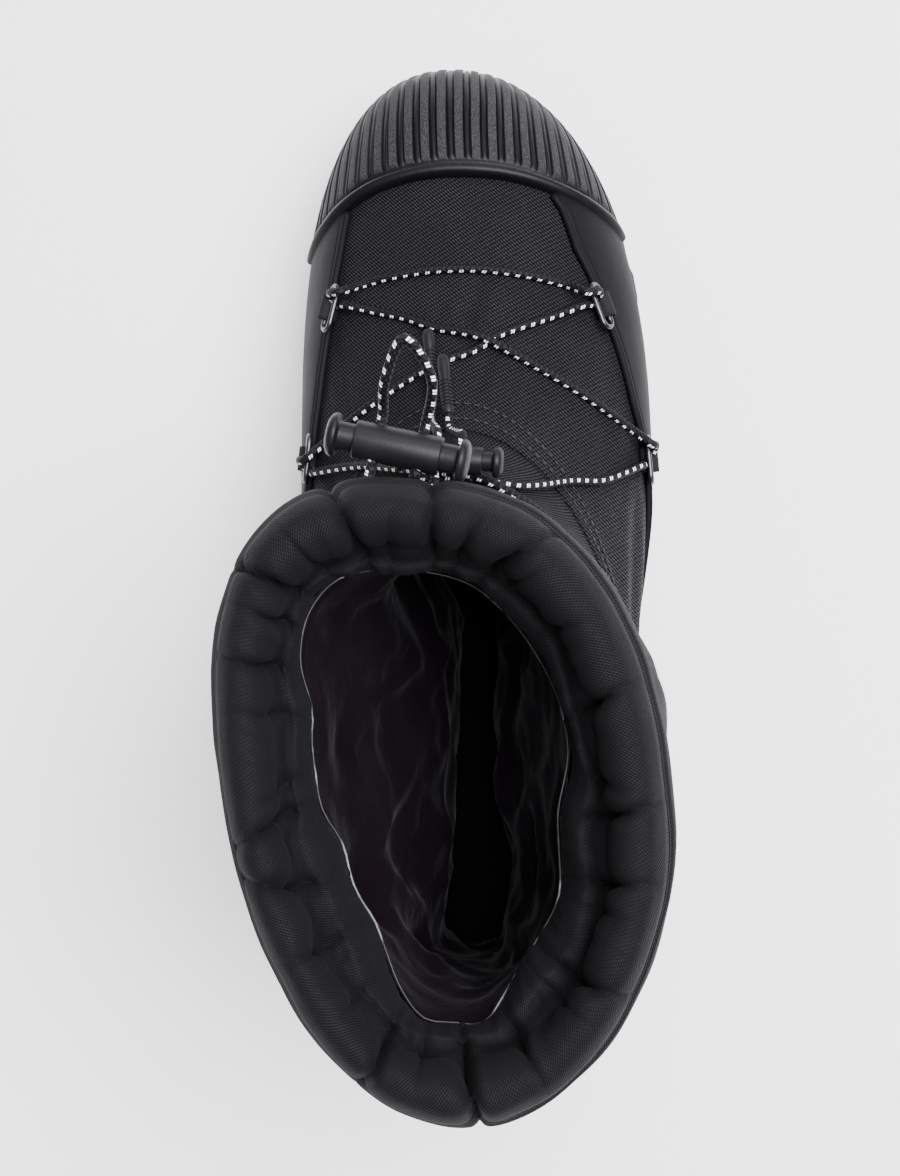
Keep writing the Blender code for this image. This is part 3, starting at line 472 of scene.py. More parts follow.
def stitch_tree():
    tree, given, result = new_tree(
        "stitches", Pitch=("Float", 0.0035), Length=("Float", 0.0026), Thread=("Float", 0.0003),
        Finish=("Material", None),
    )
    path, spots, thread, shape, half, sized, lay, whole, finish = (tree.nodes.new(kind) for kind in (
        "GeometryNodeMeshToCurve", "GeometryNodeCurveToPoints", "GeometryNodeMeshUVSphere", "ShaderNodeCombineXYZ",
        "ShaderNodeMath", "GeometryNodeTransform", "GeometryNodeInstanceOnPoints", "GeometryNodeRealizeInstances",
        "GeometryNodeSetMaterial",
    ))
    spots.mode, half.operation = "LENGTH", "MULTIPLY"
    half.inputs[1].default_value = 0.5
    for socket, value in (("Segments", 6), ("Rings", 5), ("Radius", 1.0)):
        thread.inputs[socket].default_value = value
    for start, out, end, into in (
        (given, "Geometry", path, "Mesh"), (path, 0, spots, "Curve"), (given, "Pitch", spots, "Length"),
        (given, "Thread", shape, 0), (given, "Thread", shape, 1), (given, "Length", half, 0), (half, 0, shape, 2),
        (thread, "Mesh", sized, "Geometry"), (shape, 0, sized, "Scale"), (spots, "Points", lay, "Points"),
        (spots, "Rotation", lay, "Rotation"), (sized, 0, lay, "Instance"), (lay, 0, whole, 0),
        (whole, 0, finish, "Geometry"), (given, "Finish", finish, "Material"), (finish, 0, result, 0),
    ):
        tree.links.new(start.outputs[out], end.inputs[into])
    return tree


def settled(piece):
    """The mesh of a piece, with its modifiers carried out."""
    bpy.context.view_layer.update()
    return bpy.data.meshes.new_from_object(piece.evaluated_get(bpy.context.evaluated_depsgraph_get()))


def made_by(tree, name, points, edges, **values):
    """Runs a tree on points and edges, and keeps its result as a plain mesh."""
    mesh = bpy.data.meshes.new(name)
    mesh.from_pydata((np.asarray(points) * MM).tolist(), edges, [])
    source = put(name + " line", mesh)
    run = source.modifiers.new("build", "NODES")
    run.node_group = tree
    for item in tree.interface.items_tree:
        key = getattr(item, "name", "").replace(" ", "_")
        if item.in_out == "INPUT" and key in values:
            run[item.identifier] = values[key]
    source.update_tag()
    plain = settled(source)
    bpy.data.objects.remove(source)
    plain.name = name
    plain.shade_smooth()
    return put(name, plain)


ARCH_ROWS, ARCH_END, ARCH_STITCH = (0.16, 0.36), 86, (3.0, 2.3, 0.32)  # rings below the seam, degrees, sizes
stitches = stitch_tree()
thread_black = Finish("black thread", Roughness=0.6, Specular_IOR_Level=0.3)
thread_black.set(
    Base_Color=thread_black.blend(thread_black.speckle(900), (0.003, 0.003, 0.0033), (0.011, 0.011, 0.012))
)


def sew(name, lines, pitch, length, thread):
    """Rows of stitches along lines of points, by their pitch, their length and half the thread's thickness."""
    points = np.concatenate(lines)
    starts = np.cumsum([0] + [len(line) for line in lines])
    edges = [(i, i + 1) for a, b in zip(starts, starts[1:]) for i in range(a, b - 1)]
    return made_by(
        stitches, name, points, edges, Pitch=pitch * MM, Length=length * MM, Thread=thread * MM,
        Finish=thread_black.material,
    )


arch = np.radians(np.linspace(-ARCH_END, ARCH_END, 300))
arch_seam = sew("arch_stitches", [skin(arch, SEAM - below, 0.12) for below in ARCH_ROWS], *ARCH_STITCH)
fit(arch_seam, "upper")

# ---------------------------------------------------------------- side bands
# A smooth coated band around the upper from one end of the toe bead to the other, cut raw along its top edge and
# sewn down just below it.
RAND_EDGE = (  # y, ring on the outer side, ring on the inner side
    (-40.0, 2.7, 2.7), (0.0, 2.5, 2.5), (40.0, 2.4, 2.7), (75.0, 2.4, 3.6), (100.0, 2.75, 4.2),
    (124.0, 3.4, 4.8), (146.0, 4.0, 4.75), (169.0, 4.2, 4.5), (193.0, 4.25, 3.95), (206.0, 3.95, 3.6),
)
BAND_EDGE = (  # below the top edge, and off the last: a stitch groove, then the raw edge
    (3.4, 1.8), (2.6, 1.66), (2.2, 1.62), (1.8, 1.7), (1.1, 1.82), (0.5, 1.76), (0.15, 1.5), (0, 1.0), (0.1, 0.3),
)
BAND_WALL, BAND_STITCH, BAND_SEAM = 0.5, (2.8, 2.1, 0.28), 2.2
BEAD_AT_RIM = {1: 197.0, -1: 192.0}
BEAD_Y_PER_RING = {1: 4.9, -1: 6.0}
BAND_COLUMNS, BAND_OUT, BAND_GAP = 150, 1.8, 1.2  # how far it stands off the last, and from the bead


def bead_y(ring, side):
    return BEAD_AT_RIM[side] + BEAD_Y_PER_RING[side] * (ring - RIM)


def angle_along(shares, ring, start=0.0, end=2 * math.pi):
    """Angles that lie at given shares of the length of a ring's outline, from a start to an end angle."""
    fine = np.linspace(start, end, 1201)
    walked = lengths(last_point(fine, ring))
    return np.interp(np.asarray(shares) * walked[-1], walked, fine)


def band_angle(share, ring, side):
    """Where a share of the band lies on a ring: midway between equal lengths and equal angles."""
    limit = angle_at(bead_y(ring, side) - BAND_GAP, ring, 1)
    rest = 1 - abs(share)
    return (float(angle_along(rest, ring, limit, math.pi)) + limit + (math.pi - limit) * rest) / 2


edge = {key: np.array([row[i] for row in RAND_EDGE]) for i, key in enumerate(("y", 1, -1))}
band_tops = []
for share in np.concatenate([np.linspace(-1, 0, BAND_COLUMNS)[:-1], np.linspace(0, 1, BAND_COLUMNS)]):
    side = 1 if share >= 0 else -1
    ring = OVER_RIM
    for _ in range(5):
        turned = band_angle(share, ring, side)
        ring = np.interp(last_point(turned, ring)[1], edge["y"], edge[side])
    band_tops.append((side * turned, float(ring), side * band_angle(share, OVER_RIM, side)))
band_top, band_ring, band_foot = np.array(band_tops).T
band_tall = np.linalg.norm(last_point(band_top, band_ring) - last_point(band_foot, OVER_RIM), axis=-1)


def band_line(down, out):
    """The line on the band that lies a distance below its top edge."""
    share = np.clip(1 - down / np.maximum(band_tall, 1), 0, 1)
    ring = OVER_RIM + (band_ring - OVER_RIM) * share
    return skin(band_foot + (band_top - band_foot) * share, ring, out)


band_rows = [band_line(band_tall * (1 - share), BAND_OUT) for share in np.linspace(0, 0.9, 16)]
raw_edge = 0.35 * rumple(last_point(band_top, band_ring), 6, 8.0)
for down, out in BAND_EDGE:
    band_rows.append(band_line(down + raw_edge, out))
coated = Finish("coated side band", Specular_IOR_Level=0.07)
grain = coated.speckle(1300, 2.0)
cloud = coated.speckle(38, 3.0)
coated.set(
    Base_Color=coated.blend(cloud, (0.0022, 0.0022, 0.0026), (0.0045, 0.0045, 0.0052)),
    Roughness=0.50 + 0.14 * cloud,
)
coated.relief((grain, 0.05), (cloud, 0.5))
band = surface("side_bands", band_rows, coated, closed=False)
thicken(band, BAND_WALL)
fit(band, "rand", "rand")
band_seam = sew("side_band_stitches", [band_line(BAND_SEAM, BAND_OUT)[4:-4]], *BAND_STITCH)
fit(band_seam, "rand")

# ---------------------------------------------------------------- toe cap
# Moulded rubber with straight ribs that run forward over the toe. Each rib is flat-topped and finely stippled, the
# channels between them are smooth, and a rounded bead closes the cap against the nylon. Painted shade darkens the
# narrow grooves at the foot of each rib.
RIB_PITCH = 5.1
CHANNEL_OUT, RIB_OUT, BEAD_OUT = 2.35, 3.0, 3.9
BEAD_ARCH, RIB_START, TIGHT_RIB = 16.0, 1.2, 9.0  # where the bead's two sides meet, a rib's climb, a short rib
RIB_FORM = (  # share of the pitch, share of the rib's height
    (0.0, 0.55), (0.14, 0.50), (0.17, -0.35), (0.20, -0.5), (0.225, -0.45), (0.245, 0.95), (0.28, 1.0), (0.50, 1.04),
    (0.72, 1.0), (0.755, 0.95), (0.775, -0.45), (0.80, -0.5), (0.83, -0.35), (0.86, 0.50),
)
BEAD_FORM = ((0.0, 0.4), (0.15, 1.9), (0.6, 3.1), (1.3, 3.75), (2.1, BEAD_OUT), (2.9, 3.75), (3.6, 3.1), (4.05, 2.2),
             (4.35, 1.5), (4.7, 1.55), (5.1, 2.1))


def section(y, side):
    """The last's cross-section at y, from the top of the vamp down to the rim: rings passed and length walked."""
    fine = np.linspace(0, SEAM, 801)
    top = np.interp(-y, -smooth_column(LAST["front_y"], fine)[100:], fine[100:])
    rings = top - (top - OVER_RIM) * np.linspace(0, 1, 90) ** 2
    return rings, lengths(last_point(angle_at(y, rings, side), rings))


def rib_line(distance, side, ys, reach):
    """One rib's line as angle and ring, from the bead forward to the rim, with the distance walked."""
    front = np.interp(distance, reach[side], ys)
    low, high = BEAD_AT_RIM[side], front
    for _ in range(22):
        start = (low + high) / 2
        rings, walked = section(start, side)
        ring = np.interp(distance, walked, rings)
        middle = 0.5 * max(0.0, 1 - distance / BEAD_ARCH)
        if start < bead_y(ring, side) * (1 - middle) + bead_y(ring, -side) * middle:
            low = start
        else:
            high = start
    path = []
    for y in start + (front - start) * np.sin(np.linspace(0, 1, 24) * math.pi / 2):
        rings, walked = section(y, side)
        ring = np.interp(distance, walked, rings)
        path.append((float(angle_at(y, ring, side)), float(max(ring, OVER_RIM))))
    path = np.array(path)
    return path, lengths(last_point(path[:, 0], path[:, 1]))


cap_front = LAST["front_y"][1] - 0.05
cap_ys = cap_front - (cap_front - BEAD_AT_RIM[-1]) * np.linspace(0, 1, 120) ** 2
cap_reach = {side: np.array([section(y, side)[1][-1] for y in cap_ys]) for side in (1, -1)}
rib_count = int((min(cap_reach[1][-1], cap_reach[-1][-1]) - 4.0) / RIB_PITCH)
coarse = np.arange(-2 * rib_count, 2 * rib_count + 1) * RIB_PITCH / 2
rib_lines = [rib_line(max(abs(d), 0.05), 1 if d >= 0 else -1, cap_ys, cap_reach) for d in coarse]
shares = np.linspace(0, 1, 40)
cap_paths = np.array([
    [[np.interp(s * walked[-1], walked, path[:, i]) for i in (0, 1)] for s in shares] for path, walked in rib_lines
])
cap_length = np.array([walked[-1] for path, walked in rib_lines])
cap_columns, cap_heights = [], []
for k in range(-rib_count, rib_count):
    for share, height in RIB_FORM:
        cap_columns.append(RIB_PITCH * (k + share))
        cap_heights.append(height)
cap_columns.append(RIB_PITCH * rib_count)
cap_heights.append(RIB_FORM[0][1])
cap_columns, cap_heights = np.array(cap_columns), np.array(cap_heights)
path_at = np.stack([
    np.stack([np.interp(cap_columns, coarse, cap_paths[:, s, i]) for s in range(len(shares))]) for i in (0, 1)
], -1)
room = np.interp(cap_columns, coarse, cap_length)
tight = np.minimum(1.0, room / TIGHT_RIB)
stations = [(at * tight, np.full(len(room), height)) for at, height in BEAD_FORM]
first = BEAD_FORM[-1][0] * tight + 0.5
for share in np.linspace(0, 1, 44):
    at = first + (room - first) * share
    rise = np.clip((at - first) / RIB_START, 0, 1)
    height = CHANNEL_OUT + (RIB_OUT - CHANNEL_OUT) * cap_heights * rise
    height = height - np.clip((share - 0.985) / 0.015, 0, 1) * 0.7
    stations.append((at, height))
cap_rows = []
for at, height in stations:
    along_share = np.clip(at / np.maximum(room, 0.1), 0, 1) * (len(shares) - 1)
    low = np.minimum(along_share.astype(int), len(shares) - 2)
    part = (along_share - low)[:, None]
    columns = np.arange(len(cap_columns))
    spot = path_at[low, columns] * (1 - part) + path_at[low + 1, columns] * part
    cap_rows.append(skin(spot[:, 0], spot[:, 1], height))
cap_rows.append(skin(spot[:, 0], spot[:, 1], 0.4))
cap_rubber = Finish("toe cap rubber", Specular_IOR_Level=0.13)
phase = (cap_rubber.across / RIB_PITCH).fraction() - 0.5
on_rib = 1 - phase.size().ramp(0.235, 0.265)
past_bead = cap_rubber.along.ramp(5.2, 6.6)
stipple = cap_rubber.speckle(1900, 1.0).ramp(0.42, 0.62)
cloud = cap_rubber.speckle(70, 4.0)
crown = on_rib * past_bead
scuff = cap_rubber.speckle(420, 4.0, 0.7).ramp(0.60, 0.70) * crown
# Painted shade: the narrow grooves at the foot of each rib are darkened to near black.
painted_groove_shade = 1 - (phase.size() - 0.305).size().ramp(0.02, 0.055)
cap_rubber.set(
    Base_Color=cap_rubber.blend(
        (crown * (0.28 + 0.55 * stipple) + scuff * 0.4 + 0.12 * cloud) * (1 - 0.9 * painted_groove_shade * past_bead),
        (0.0012, 0.0012, 0.0014), (0.030, 0.030, 0.032)
    ),
    Roughness=0.40 + 0.18 * crown + 0.08 * cloud,
)
cap_rubber.relief((cloud, 0.4), (stipple * crown, 0.10))
cap = surface(
    "toe_cap_ribs", cap_rows, cap_rubber, closed=False, across=cap_columns + RIB_PITCH * 100,
    along=np.concatenate([[at.mean() for at, _ in stations], [stations[-1][0].mean() + 3]]), inside=True,
)
fit(cap, "toe_cap", "toe_cap")

# ---------------------------------------------------------------- lace rings and their tabs
# Six rings of gunmetal wire stand on edge in folded webbing tabs, three on each side. The lace passes over the top
# wire of each and comes back through it.
RING_PLACES = (  # number, y, ring of the last on the outer side, on the inner side, height of the seat
    (1, 174.5, 4.3, 4.4, 1.0),
    (2, 127.0, 3.7, 4.9, 1.0),
    (3, 60.0, 4.2, 4.2, 0.5),
)
RING_WIRE, RING_LONG, RING_DEEP, RING_LEAN = 1.8, 16.0, 6.5, 0.28
TAB_LONG, TAB_DEEP, TAB_THICK = 7.5, 4.6, 4.2
SAME_PLACE = 1e-6  # metres within which two points are one


def unit(vector):
    vector = np.asarray(vector, float)
    return vector / np.linalg.norm(vector)


def flow(knots, spacing=0.8):
    """An even line on one smooth curve through knots, however far apart they are."""
    knots = np.asarray(knots, float)
    ends = np.concatenate([[2 * knots[0] - knots[1]], knots, [2 * knots[-1] - knots[-2]]])
    line = []
    for a, b, c, d in zip(ends, ends[1:], ends[2:], ends[3:]):
        t1 = np.linalg.norm(b - a) ** 0.5
        t2 = t1 + np.linalg.norm(c - b) ** 0.5
        t3 = t2 + np.linalg.norm(d - c) ** 0.5
        t = np.linspace(t1, t2, 24, endpoint=False)[:, None]
        ab, bc, cd = a + (b - a) * t / t1, b + (c - b) * (t - t1) / (t2 - t1), c + (d - c) * (t - t2) / (t3 - t2)
        left, right = ab + (bc - ab) * t / t2, bc + (cd - bc) * (t - t1) / (t3 - t1)
        line.append(left + (right - left) * (t - t1) / (t2 - t1))
    line = np.concatenate(line + [knots[-1:]])
    walked = lengths(line)
    steps = np.linspace(0, walked[-1], max(int(walked[-1] / spacing), 4) + 1)
    return np.stack([np.interp(steps, walked, line[:, i]) for i in range(3)], -1)


def cleaned(piece, merge=0.0, fill=0, outward=True):
    """Merges points that lie together, fills holes, and turns the faces outwards."""
    clean = bmesh.new()
    clean.from_mesh(piece.data)
    if merge:
        bmesh.ops.remove_doubles(clean, verts=clean.verts, dist=merge)
    if fill:
        bmesh.ops.holes_fill(clean, edges=clean.edges, sides=fill)
    if outward:
        bmesh.ops.recalc_face_normals(clean, faces=clean.faces)
    clean.to_mesh(piece.data)
    clean.free()
    piece.data.shade_smooth()
    return piece


def tube(name, line, radius, finish, sides=14, closed=False):
    """A round cord or wire along a line, with rounded ends. Its UV map counts millimetres along it."""
    line = np.asarray(line, float)
    ahead = np.roll(line, -1, axis=0) - np.roll(line, 1, axis=0)
    if not closed:
        ahead[0], ahead[-1] = line[1] - line[0], line[-1] - line[-2]
    ahead /= np.linalg.norm(ahead, axis=1, keepdims=True)
    side = unit(np.cross(ahead[0], (0.3, 0.2, 1.0)))
    frames = []
    for direction in ahead:
        side = unit(side - direction * side.dot(direction))
        frames.append((side, np.cross(direction, side)))
    radii = np.full(len(line), float(radius))
    if not closed:
        line = np.concatenate([line[:1] - ahead[0] * radius * 0.35, line, line[-1:] + ahead[-1] * radius * 0.35])
        frames = [frames[0], *frames, frames[-1]]
        radii = np.concatenate([[radius * 0.55], radii, [radius * 0.55]])
    turns = np.arange(sides) * 2 * math.pi / sides
    rows = np.array([
        place + r * (np.cos(turns)[:, None] * a + np.sin(turns)[:, None] * b)
        for place, (a, b), r in zip(line, frames, radii)
    ])
    if closed:
        rows = np.concatenate([rows, rows[:1]])
    walked = lengths(rows.mean(axis=1))
    made = surface(name, rows, finish, across=np.arange(sides + 1) / sides, along=walked, inside=True)
    return cleaned(made, merge=SAME_PLACE) if closed else cleaned(made, fill=sides)


gunmetal = Finish("gunmetal wire", Metallic=0.9, Coat_Weight=0.2)
tarnish = gunmetal.speckle(500, 3.0)
gunmetal.set(
    Base_Color=gunmetal.blend(tarnish, (0.020, 0.020, 0.022), (0.070, 0.070, 0.075)), Roughness=0.22 + 0.2 * tarnish
)
webbing = Finish("tab webbing", Roughness=0.8, Specular_IOR_Level=0.2)
weave_ribs = webbing.speckle(1500, 1.0)
webbing.set(Base_Color=webbing.blend(weave_ribs, (0.002, 0.002, 0.0022), (0.009, 0.009, 0.0097)))
webbing.relief((weave_ribs, 0.2))

ring_tops = {}
for number, y, outer_ring, inner_ring, seat in RING_PLACES:
    for side, word, ring in ((1, "lateral", outer_ring), (-1, "medial", inner_ring)):
        angle = float(angle_at(y, ring, side))
        foot = skin(angle, ring, seat)
        normal = unit(skin(angle, ring, 1.0) - skin(angle, ring, 0.0))
        along = unit(last_point(angle - side * 0.03, ring) - last_point(angle + side * 0.03, ring))
        uphill = np.array([0.0, 0.0, 1.0]) - normal * normal[2]
        out = unit(uphill - along * uphill.dot(along)) + normal * RING_LEAN
        out = unit(out - along * out.dot(along))
        low = foot + normal * (TAB_THICK / 2) - out * 0.2
        bend = (RING_DEEP - RING_WIRE) / 2
        straight = (RING_LONG - RING_WIRE) / 2 - bend
        centre = low + out * bend
        loop = []
        for end in (1, -1):
            for k in range(13):
                a = math.radians(-90 * end + 15 * k)
                loop.append(centre + along * (end * straight + bend * math.cos(a)) + out * bend * math.sin(a))
        wire = tube(f"lace_ring_{number}_{word}", loop, RING_WIRE / 2, gunmetal, sides=12, closed=True)
        fit(wire, "wire", f"ring_{number}_{word}")
        outward = np.cross(along, out)
        outward = outward if outward.dot(normal) > 0 else -outward
        ring_tops[number, side] = (centre + out * bend, out, outward, along)
        across = unit(np.cross(normal, along))
        fold = []
        for k in range(19):
            a = math.radians(180 * k / 18)
            fold.append((math.cos(a) * TAB_DEEP / 2, 0.9 + math.sin(a) * (TAB_THICK - 0.7)))
        fold = [(TAB_DEEP / 2, 0.0), *fold, (-TAB_DEEP / 2, 0.0)]
        strap = [[foot + along * end + across * w + normal * h for w, h in fold]
                 for end in np.linspace(-TAB_LONG / 2, TAB_LONG / 2, 7)]
        tab = surface(f"webbing_tab_{number}_{word}", strap, webbing, closed=False)
        thicken(tab, 0.9, 0)
        fit(tab, "webbing", f"ring_tab_{number}_{word}")

# ---------------------------------------------------------------- padded shaft
# Nylon over wadding, sewn on under the vamp's edge. It folds softly around the ankle, and a plain reflective strip
# is sewn on its outer side.
SHAFT_INSET, SHAFT_SWELL, SHAFT_ROWS, SHAFT_COLUMNS, SHAFT_WALL = 0.8, 0.6, 110, 320, 3.0
DRAW_FROM, DRAW_OVER = 115, 65  # the height at which the heel's draw starts, and over which it grows
padded = Finish("padded nylon", Sheen_Weight=0.01, Sheen_Roughness=0.5, Specular_IOR_Level=0.10)
weave(padded, NYLON_PITCH)
ANKLE_FOLDS = (  # knots by degrees and ring, width, depth
    (((24, 8.9), (0, 9.2), (-26, 9.0)), 3.4, 1.2),
    (((52, 8.6), (40, 9.1), (28, 9.5)), 3.0, 1.0),
    (((-56, 8.7), (-42, 9.1), (-30, 9.5)), 3.0, 1.0),
    (((150, 9.6), (180, 9.4), (210, 9.6)), 4.5, 1.6),
    *both_sides(
        (((70, 9.6), (95, 9.3), (125, 9.5)), 4.5, 1.8),
        (((80, 10.6), (110, 10.4), (140, 10.7)), 4.5, 1.4),
        (((60, 11.7), (64, 10.9), (74, 10.2)), 3.0, 1.0),
        (((120, 11.8), (124, 11.0), (120, 10.2)), 3.0, 1.0),
    ),
    (((160, 11.8), (164, 11.0), (160, 10.3)), 3.0, 0.9),
    (((-150, 11.8), (-154, 11.0), (-150, 10.3)), 3.0, 0.9),
)
HEEL_DRAW = (  # y, how far the padding is drawn towards the outer side there, how far its width is drawn in
    (-60.0, 2.6, 3.6), (-45.0, 2.6, 3.4), (-30.0, 2.5, 3.0), (-12.0, 2.4, 2.6), (10.0, 1.9, 1.4), (35.0, 0.9, 0.6),
    (60.0, 0.6, 0.9), (85.0, 0.3, 0.4), (110.0, 0.0, 0.0), (130.0, 0.0, 0.0),
)


def heel_draw(points, strength):
    """How far points near the cuff lie further out than the last, as the drawcord pulls the heel end over."""
    y, over, narrower = np.array(HEEL_DRAW).T
    order = points[..., 1]
    side = np.clip(points[..., 0] / 30, -1, 1)
    return strength * (np.interp(order, y, over) - side * np.interp(order, y, narrower))


STRIP_ENDS, STRIP_RINGS, STRIP_OVER, STRIP_THICK = (56, 108), (9.85, 10.27), 0.35, 0.3  # degrees, rings, heights
STRIP_BULGE = (76.0, 22.0, 10.2, 1.2, 8.0)  # degrees and their spread, ring and its spread, height


def strip_bulge(angles, rings):
    """The padding stands further out where the reflective strip crosses it."""
    degrees, spread, ring, tall, high = STRIP_BULGE
    aside = (np.degrees(angles) + 180) % 360 - 180 - degrees
    return high * np.exp(-(aside / spread) ** 2 - ((rings - ring) / tall) ** 2)


def padding(angles, rings, over=0.0):
    """Points on the shaft's face, or over it: its folds, its bulge, and the draw of the cuff at the heel."""
    base = last_point(angles, rings)
    swell = np.sin(math.pi * np.clip((rings - SEAM) / (CUFF_FOOT - SEAM), 0, 1)) ** 0.5
    lift = creases(base, ANKLE_FOLDS) + 1.0 * rumple(base, 34, 5.7) + 0.5 * rumple(base, 15, 1.3)
    points = skin(angles, rings, (lift + SHAFT_SWELL) * swell - SHAFT_INSET + over + strip_bulge(angles, rings))
    points[..., 0] += heel_draw(points, np.clip((points[..., 2] - DRAW_FROM) / DRAW_OVER, 0, 1))
    return points


shaft = surface("padded_shaft", padding(turn(SHAFT_COLUMNS), np.linspace(SEAM, CUFF_FOOT, SHAFT_ROWS)[:, None]), padded)
thicken(shaft, SHAFT_WALL)
fit(shaft, "shaft", "shaft")

reflective = Finish("reflective strip", Roughness=0.42, Specular_IOR_Level=0.5)
beads = reflective.speckle(2500, 1.0)
reflective.set(Base_Color=reflective.blend(beads, (0.62, 0.62, 0.63), (0.80, 0.80, 0.81)))
strip_points = padding(np.radians(np.linspace(*STRIP_ENDS, 60)), np.linspace(*STRIP_RINGS, 8)[:, None], STRIP_OVER)
strip = surface("reflective_strip", strip_points, reflective, closed=False)
thicken(strip, STRIP_THICK)
fit(strip, "shaft")

# ---------------------------------------------------------------- cuff
# A puffy ring of wadding in twill, gathered on its drawcord, that rolls over to a facing band inside the mouth. The
# gathers pinch the roll, most of all along its inner edge, and painted shade darkens the gathers and the inner fold.
MOUTH = (  # degrees, how far inside the shaft's face the facing ends, and at what height
    (-180, 20.0, 190), (-168, 19.4, 191), (-156, 22.5, 188), (-144, 26.0, 187), (-132, 28.0, 188), (-117, 26.2, 190),
    (-104, 26.5, 189), (-94, 22.6, 192), (-77, 22.0, 190), (-66, 23.0, 188), (-56, 19.4, 190), (-42, 18.2, 189),
    (-21, 18.4, 187), (-4, 19.8, 184), (8, 20.4, 182), (20, 20.4, 182), (36, 21.4, 180), (51, 21.4, 181),
    (66, 20.8, 186), (79, 21.4, 190), (95, 26.4, 191), (106, 26.0, 189), (119, 24.0, 188), (132, 25.4, 187),
    (145, 26.0, 188), (158, 23.6, 190), (170, 18.6, 191), (180, 20.0, 190),
)
ROLL = (  # how far inside the shaft's face, and height
    (1.4, 187.2), (-0.4, 190.5), (-1.1, 196.0), (-1.0, 202.0), (-0.2, 207.6), (1.2, 210.4), (1.7, 211.6),
    (2.6, 214.6), (5.4, 218.6), (8.8, 219.8), (12.0, 218.6), (14.6, 215.0), (15.6, 210.5), (15.4, 207.0),
)
FACING = ((0.1, 0.88), (0.34, 0.80), (0.62, 0.55), (0.85, 0.25), (1.0, 0.0))  # share inward, share of the drop
GATHERS = (  # degrees, width in degrees, depth, lean in degrees inwards, share of the roll at which it starts
    (-9, 1.3, 2.0, 3, 0.1), (-1, 1.1, 0.8, -2, 0.7), (6.5, 1.1, 1.6, 2, 0.1), (15, 1.4, 1.3, -3, 0.6),
    (27, 1.9, 2.4, -8, 0.55), (33, 1.2, 1.2, -9, 0.75), (49, 1.5, 1.0, -5, 0.75), (68, 1.6, 2.2, 3, 0.65),
    (86, 1.4, 1.1, -4, 0.8), (92, 1.4, 2.1, 5, 0.62), (107, 1.4, 2.2, 6, 0.7), (114, 1.2, 1.0, 5, 0.8),
    (131, 1.5, 2.1, 7, 0.6), (139, 1.2, 1.1, 6, 0.8), (157, 1.5, 1.6, 4, 0.7), (177, 1.4, 3.4, 1, 0.3),
    (-168, 1.2, 1.0, -3, 0.8), (-155, 1.6, 2.4, -5, 0.45), (-140, 1.3, 1.0, -7, 0.8), (-124, 1.4, 1.4, -6, 0.7),
    (-108, 1.6, 2.4, -6, 0.55), (-95, 1.4, 2.1, 5, 0.55), (-89, 1.2, 1.0, 6, 0.8), (-71, 1.4, 1.1, 3, 0.75),
    (-60, 1.6, 2.1, 4, 0.6), (-47, 1.3, 1.6, 5, 0.7), (-37, 1.5, 2.6, 7, 0.4), (-24, 1.4, 1.2, 5, 0.7),
)


def around_mouth(column, degrees):
    """A column of the mouth's table, smooth all the way round."""
    table = np.array(MOUTH, float)
    at = np.mod(degrees + 180, 360) - 180
    soft = np.zeros_like(at)
    for shift, weight in ((-4, 0.25), (0, 0.5), (4, 0.25)):
        soft = soft + weight * np.interp(np.mod(at + shift + 180, 360) - 180, table[:, 0], table[:, column])
    return soft


CUFF_COLUMNS, CHANNEL_ROWS, FOLD_AT = 560, (0.33, 0.385), 0.99  # seams and inner fold by share of the roll
cuff_angles = turn(CUFF_COLUMNS)
cuff_degrees = np.degrees(cuff_angles)
mouth_in, mouth_low = around_mouth(1, cuff_degrees), around_mouth(2, cuff_degrees)
outline = [np.array([np.full(len(cuff_angles), inward), np.full(len(cuff_angles), height)])
           for inward, height in ROLL]
roll_in, roll_low = ROLL[-1]
for share, drop in FACING:
    outline.append(np.array([
        roll_in + (mouth_in - roll_in) * share + 1.6 * math.sin(math.pi * share) + (1 - share) * 1.2,
        mouth_low + (roll_low - mouth_low) * drop,
    ]))
outline.append(np.array([mouth_in - 1.6, mouth_low + 0.4]))
outline.append(np.array([mouth_in * 0.6, np.full(len(cuff_angles), 187.0)]))
outline = np.array(outline)  # point, inward or height, angle


FINER = 5  # points for each one of the outline


def finer(points, steps=FINER):
    """More points on a closed smooth curve through points, along their first axis."""
    found = []
    count = len(points)
    for i in range(count):
        a, b, c, d = (points[(i + k) % count] for k in (-1, 0, 1, 2))
        for t in np.arange(steps) / steps:
            found.append(0.5 * (2 * b + (c - a) * t + (2 * a - 5 * b + 4 * c - d) * t**2
                                + (3 * b - a - 3 * c + d) * t**3))
    return np.array(found)


outline = finer(outline)
rounds = len(outline)
roll_share = np.clip(np.arange(rounds) / (len(ROLL) * FINER), 0, 1.4)[:, None]
pinch = np.zeros((rounds, len(cuff_angles)))
puff = np.zeros((rounds, len(cuff_angles)))
shade = np.zeros((rounds, len(cuff_angles)))
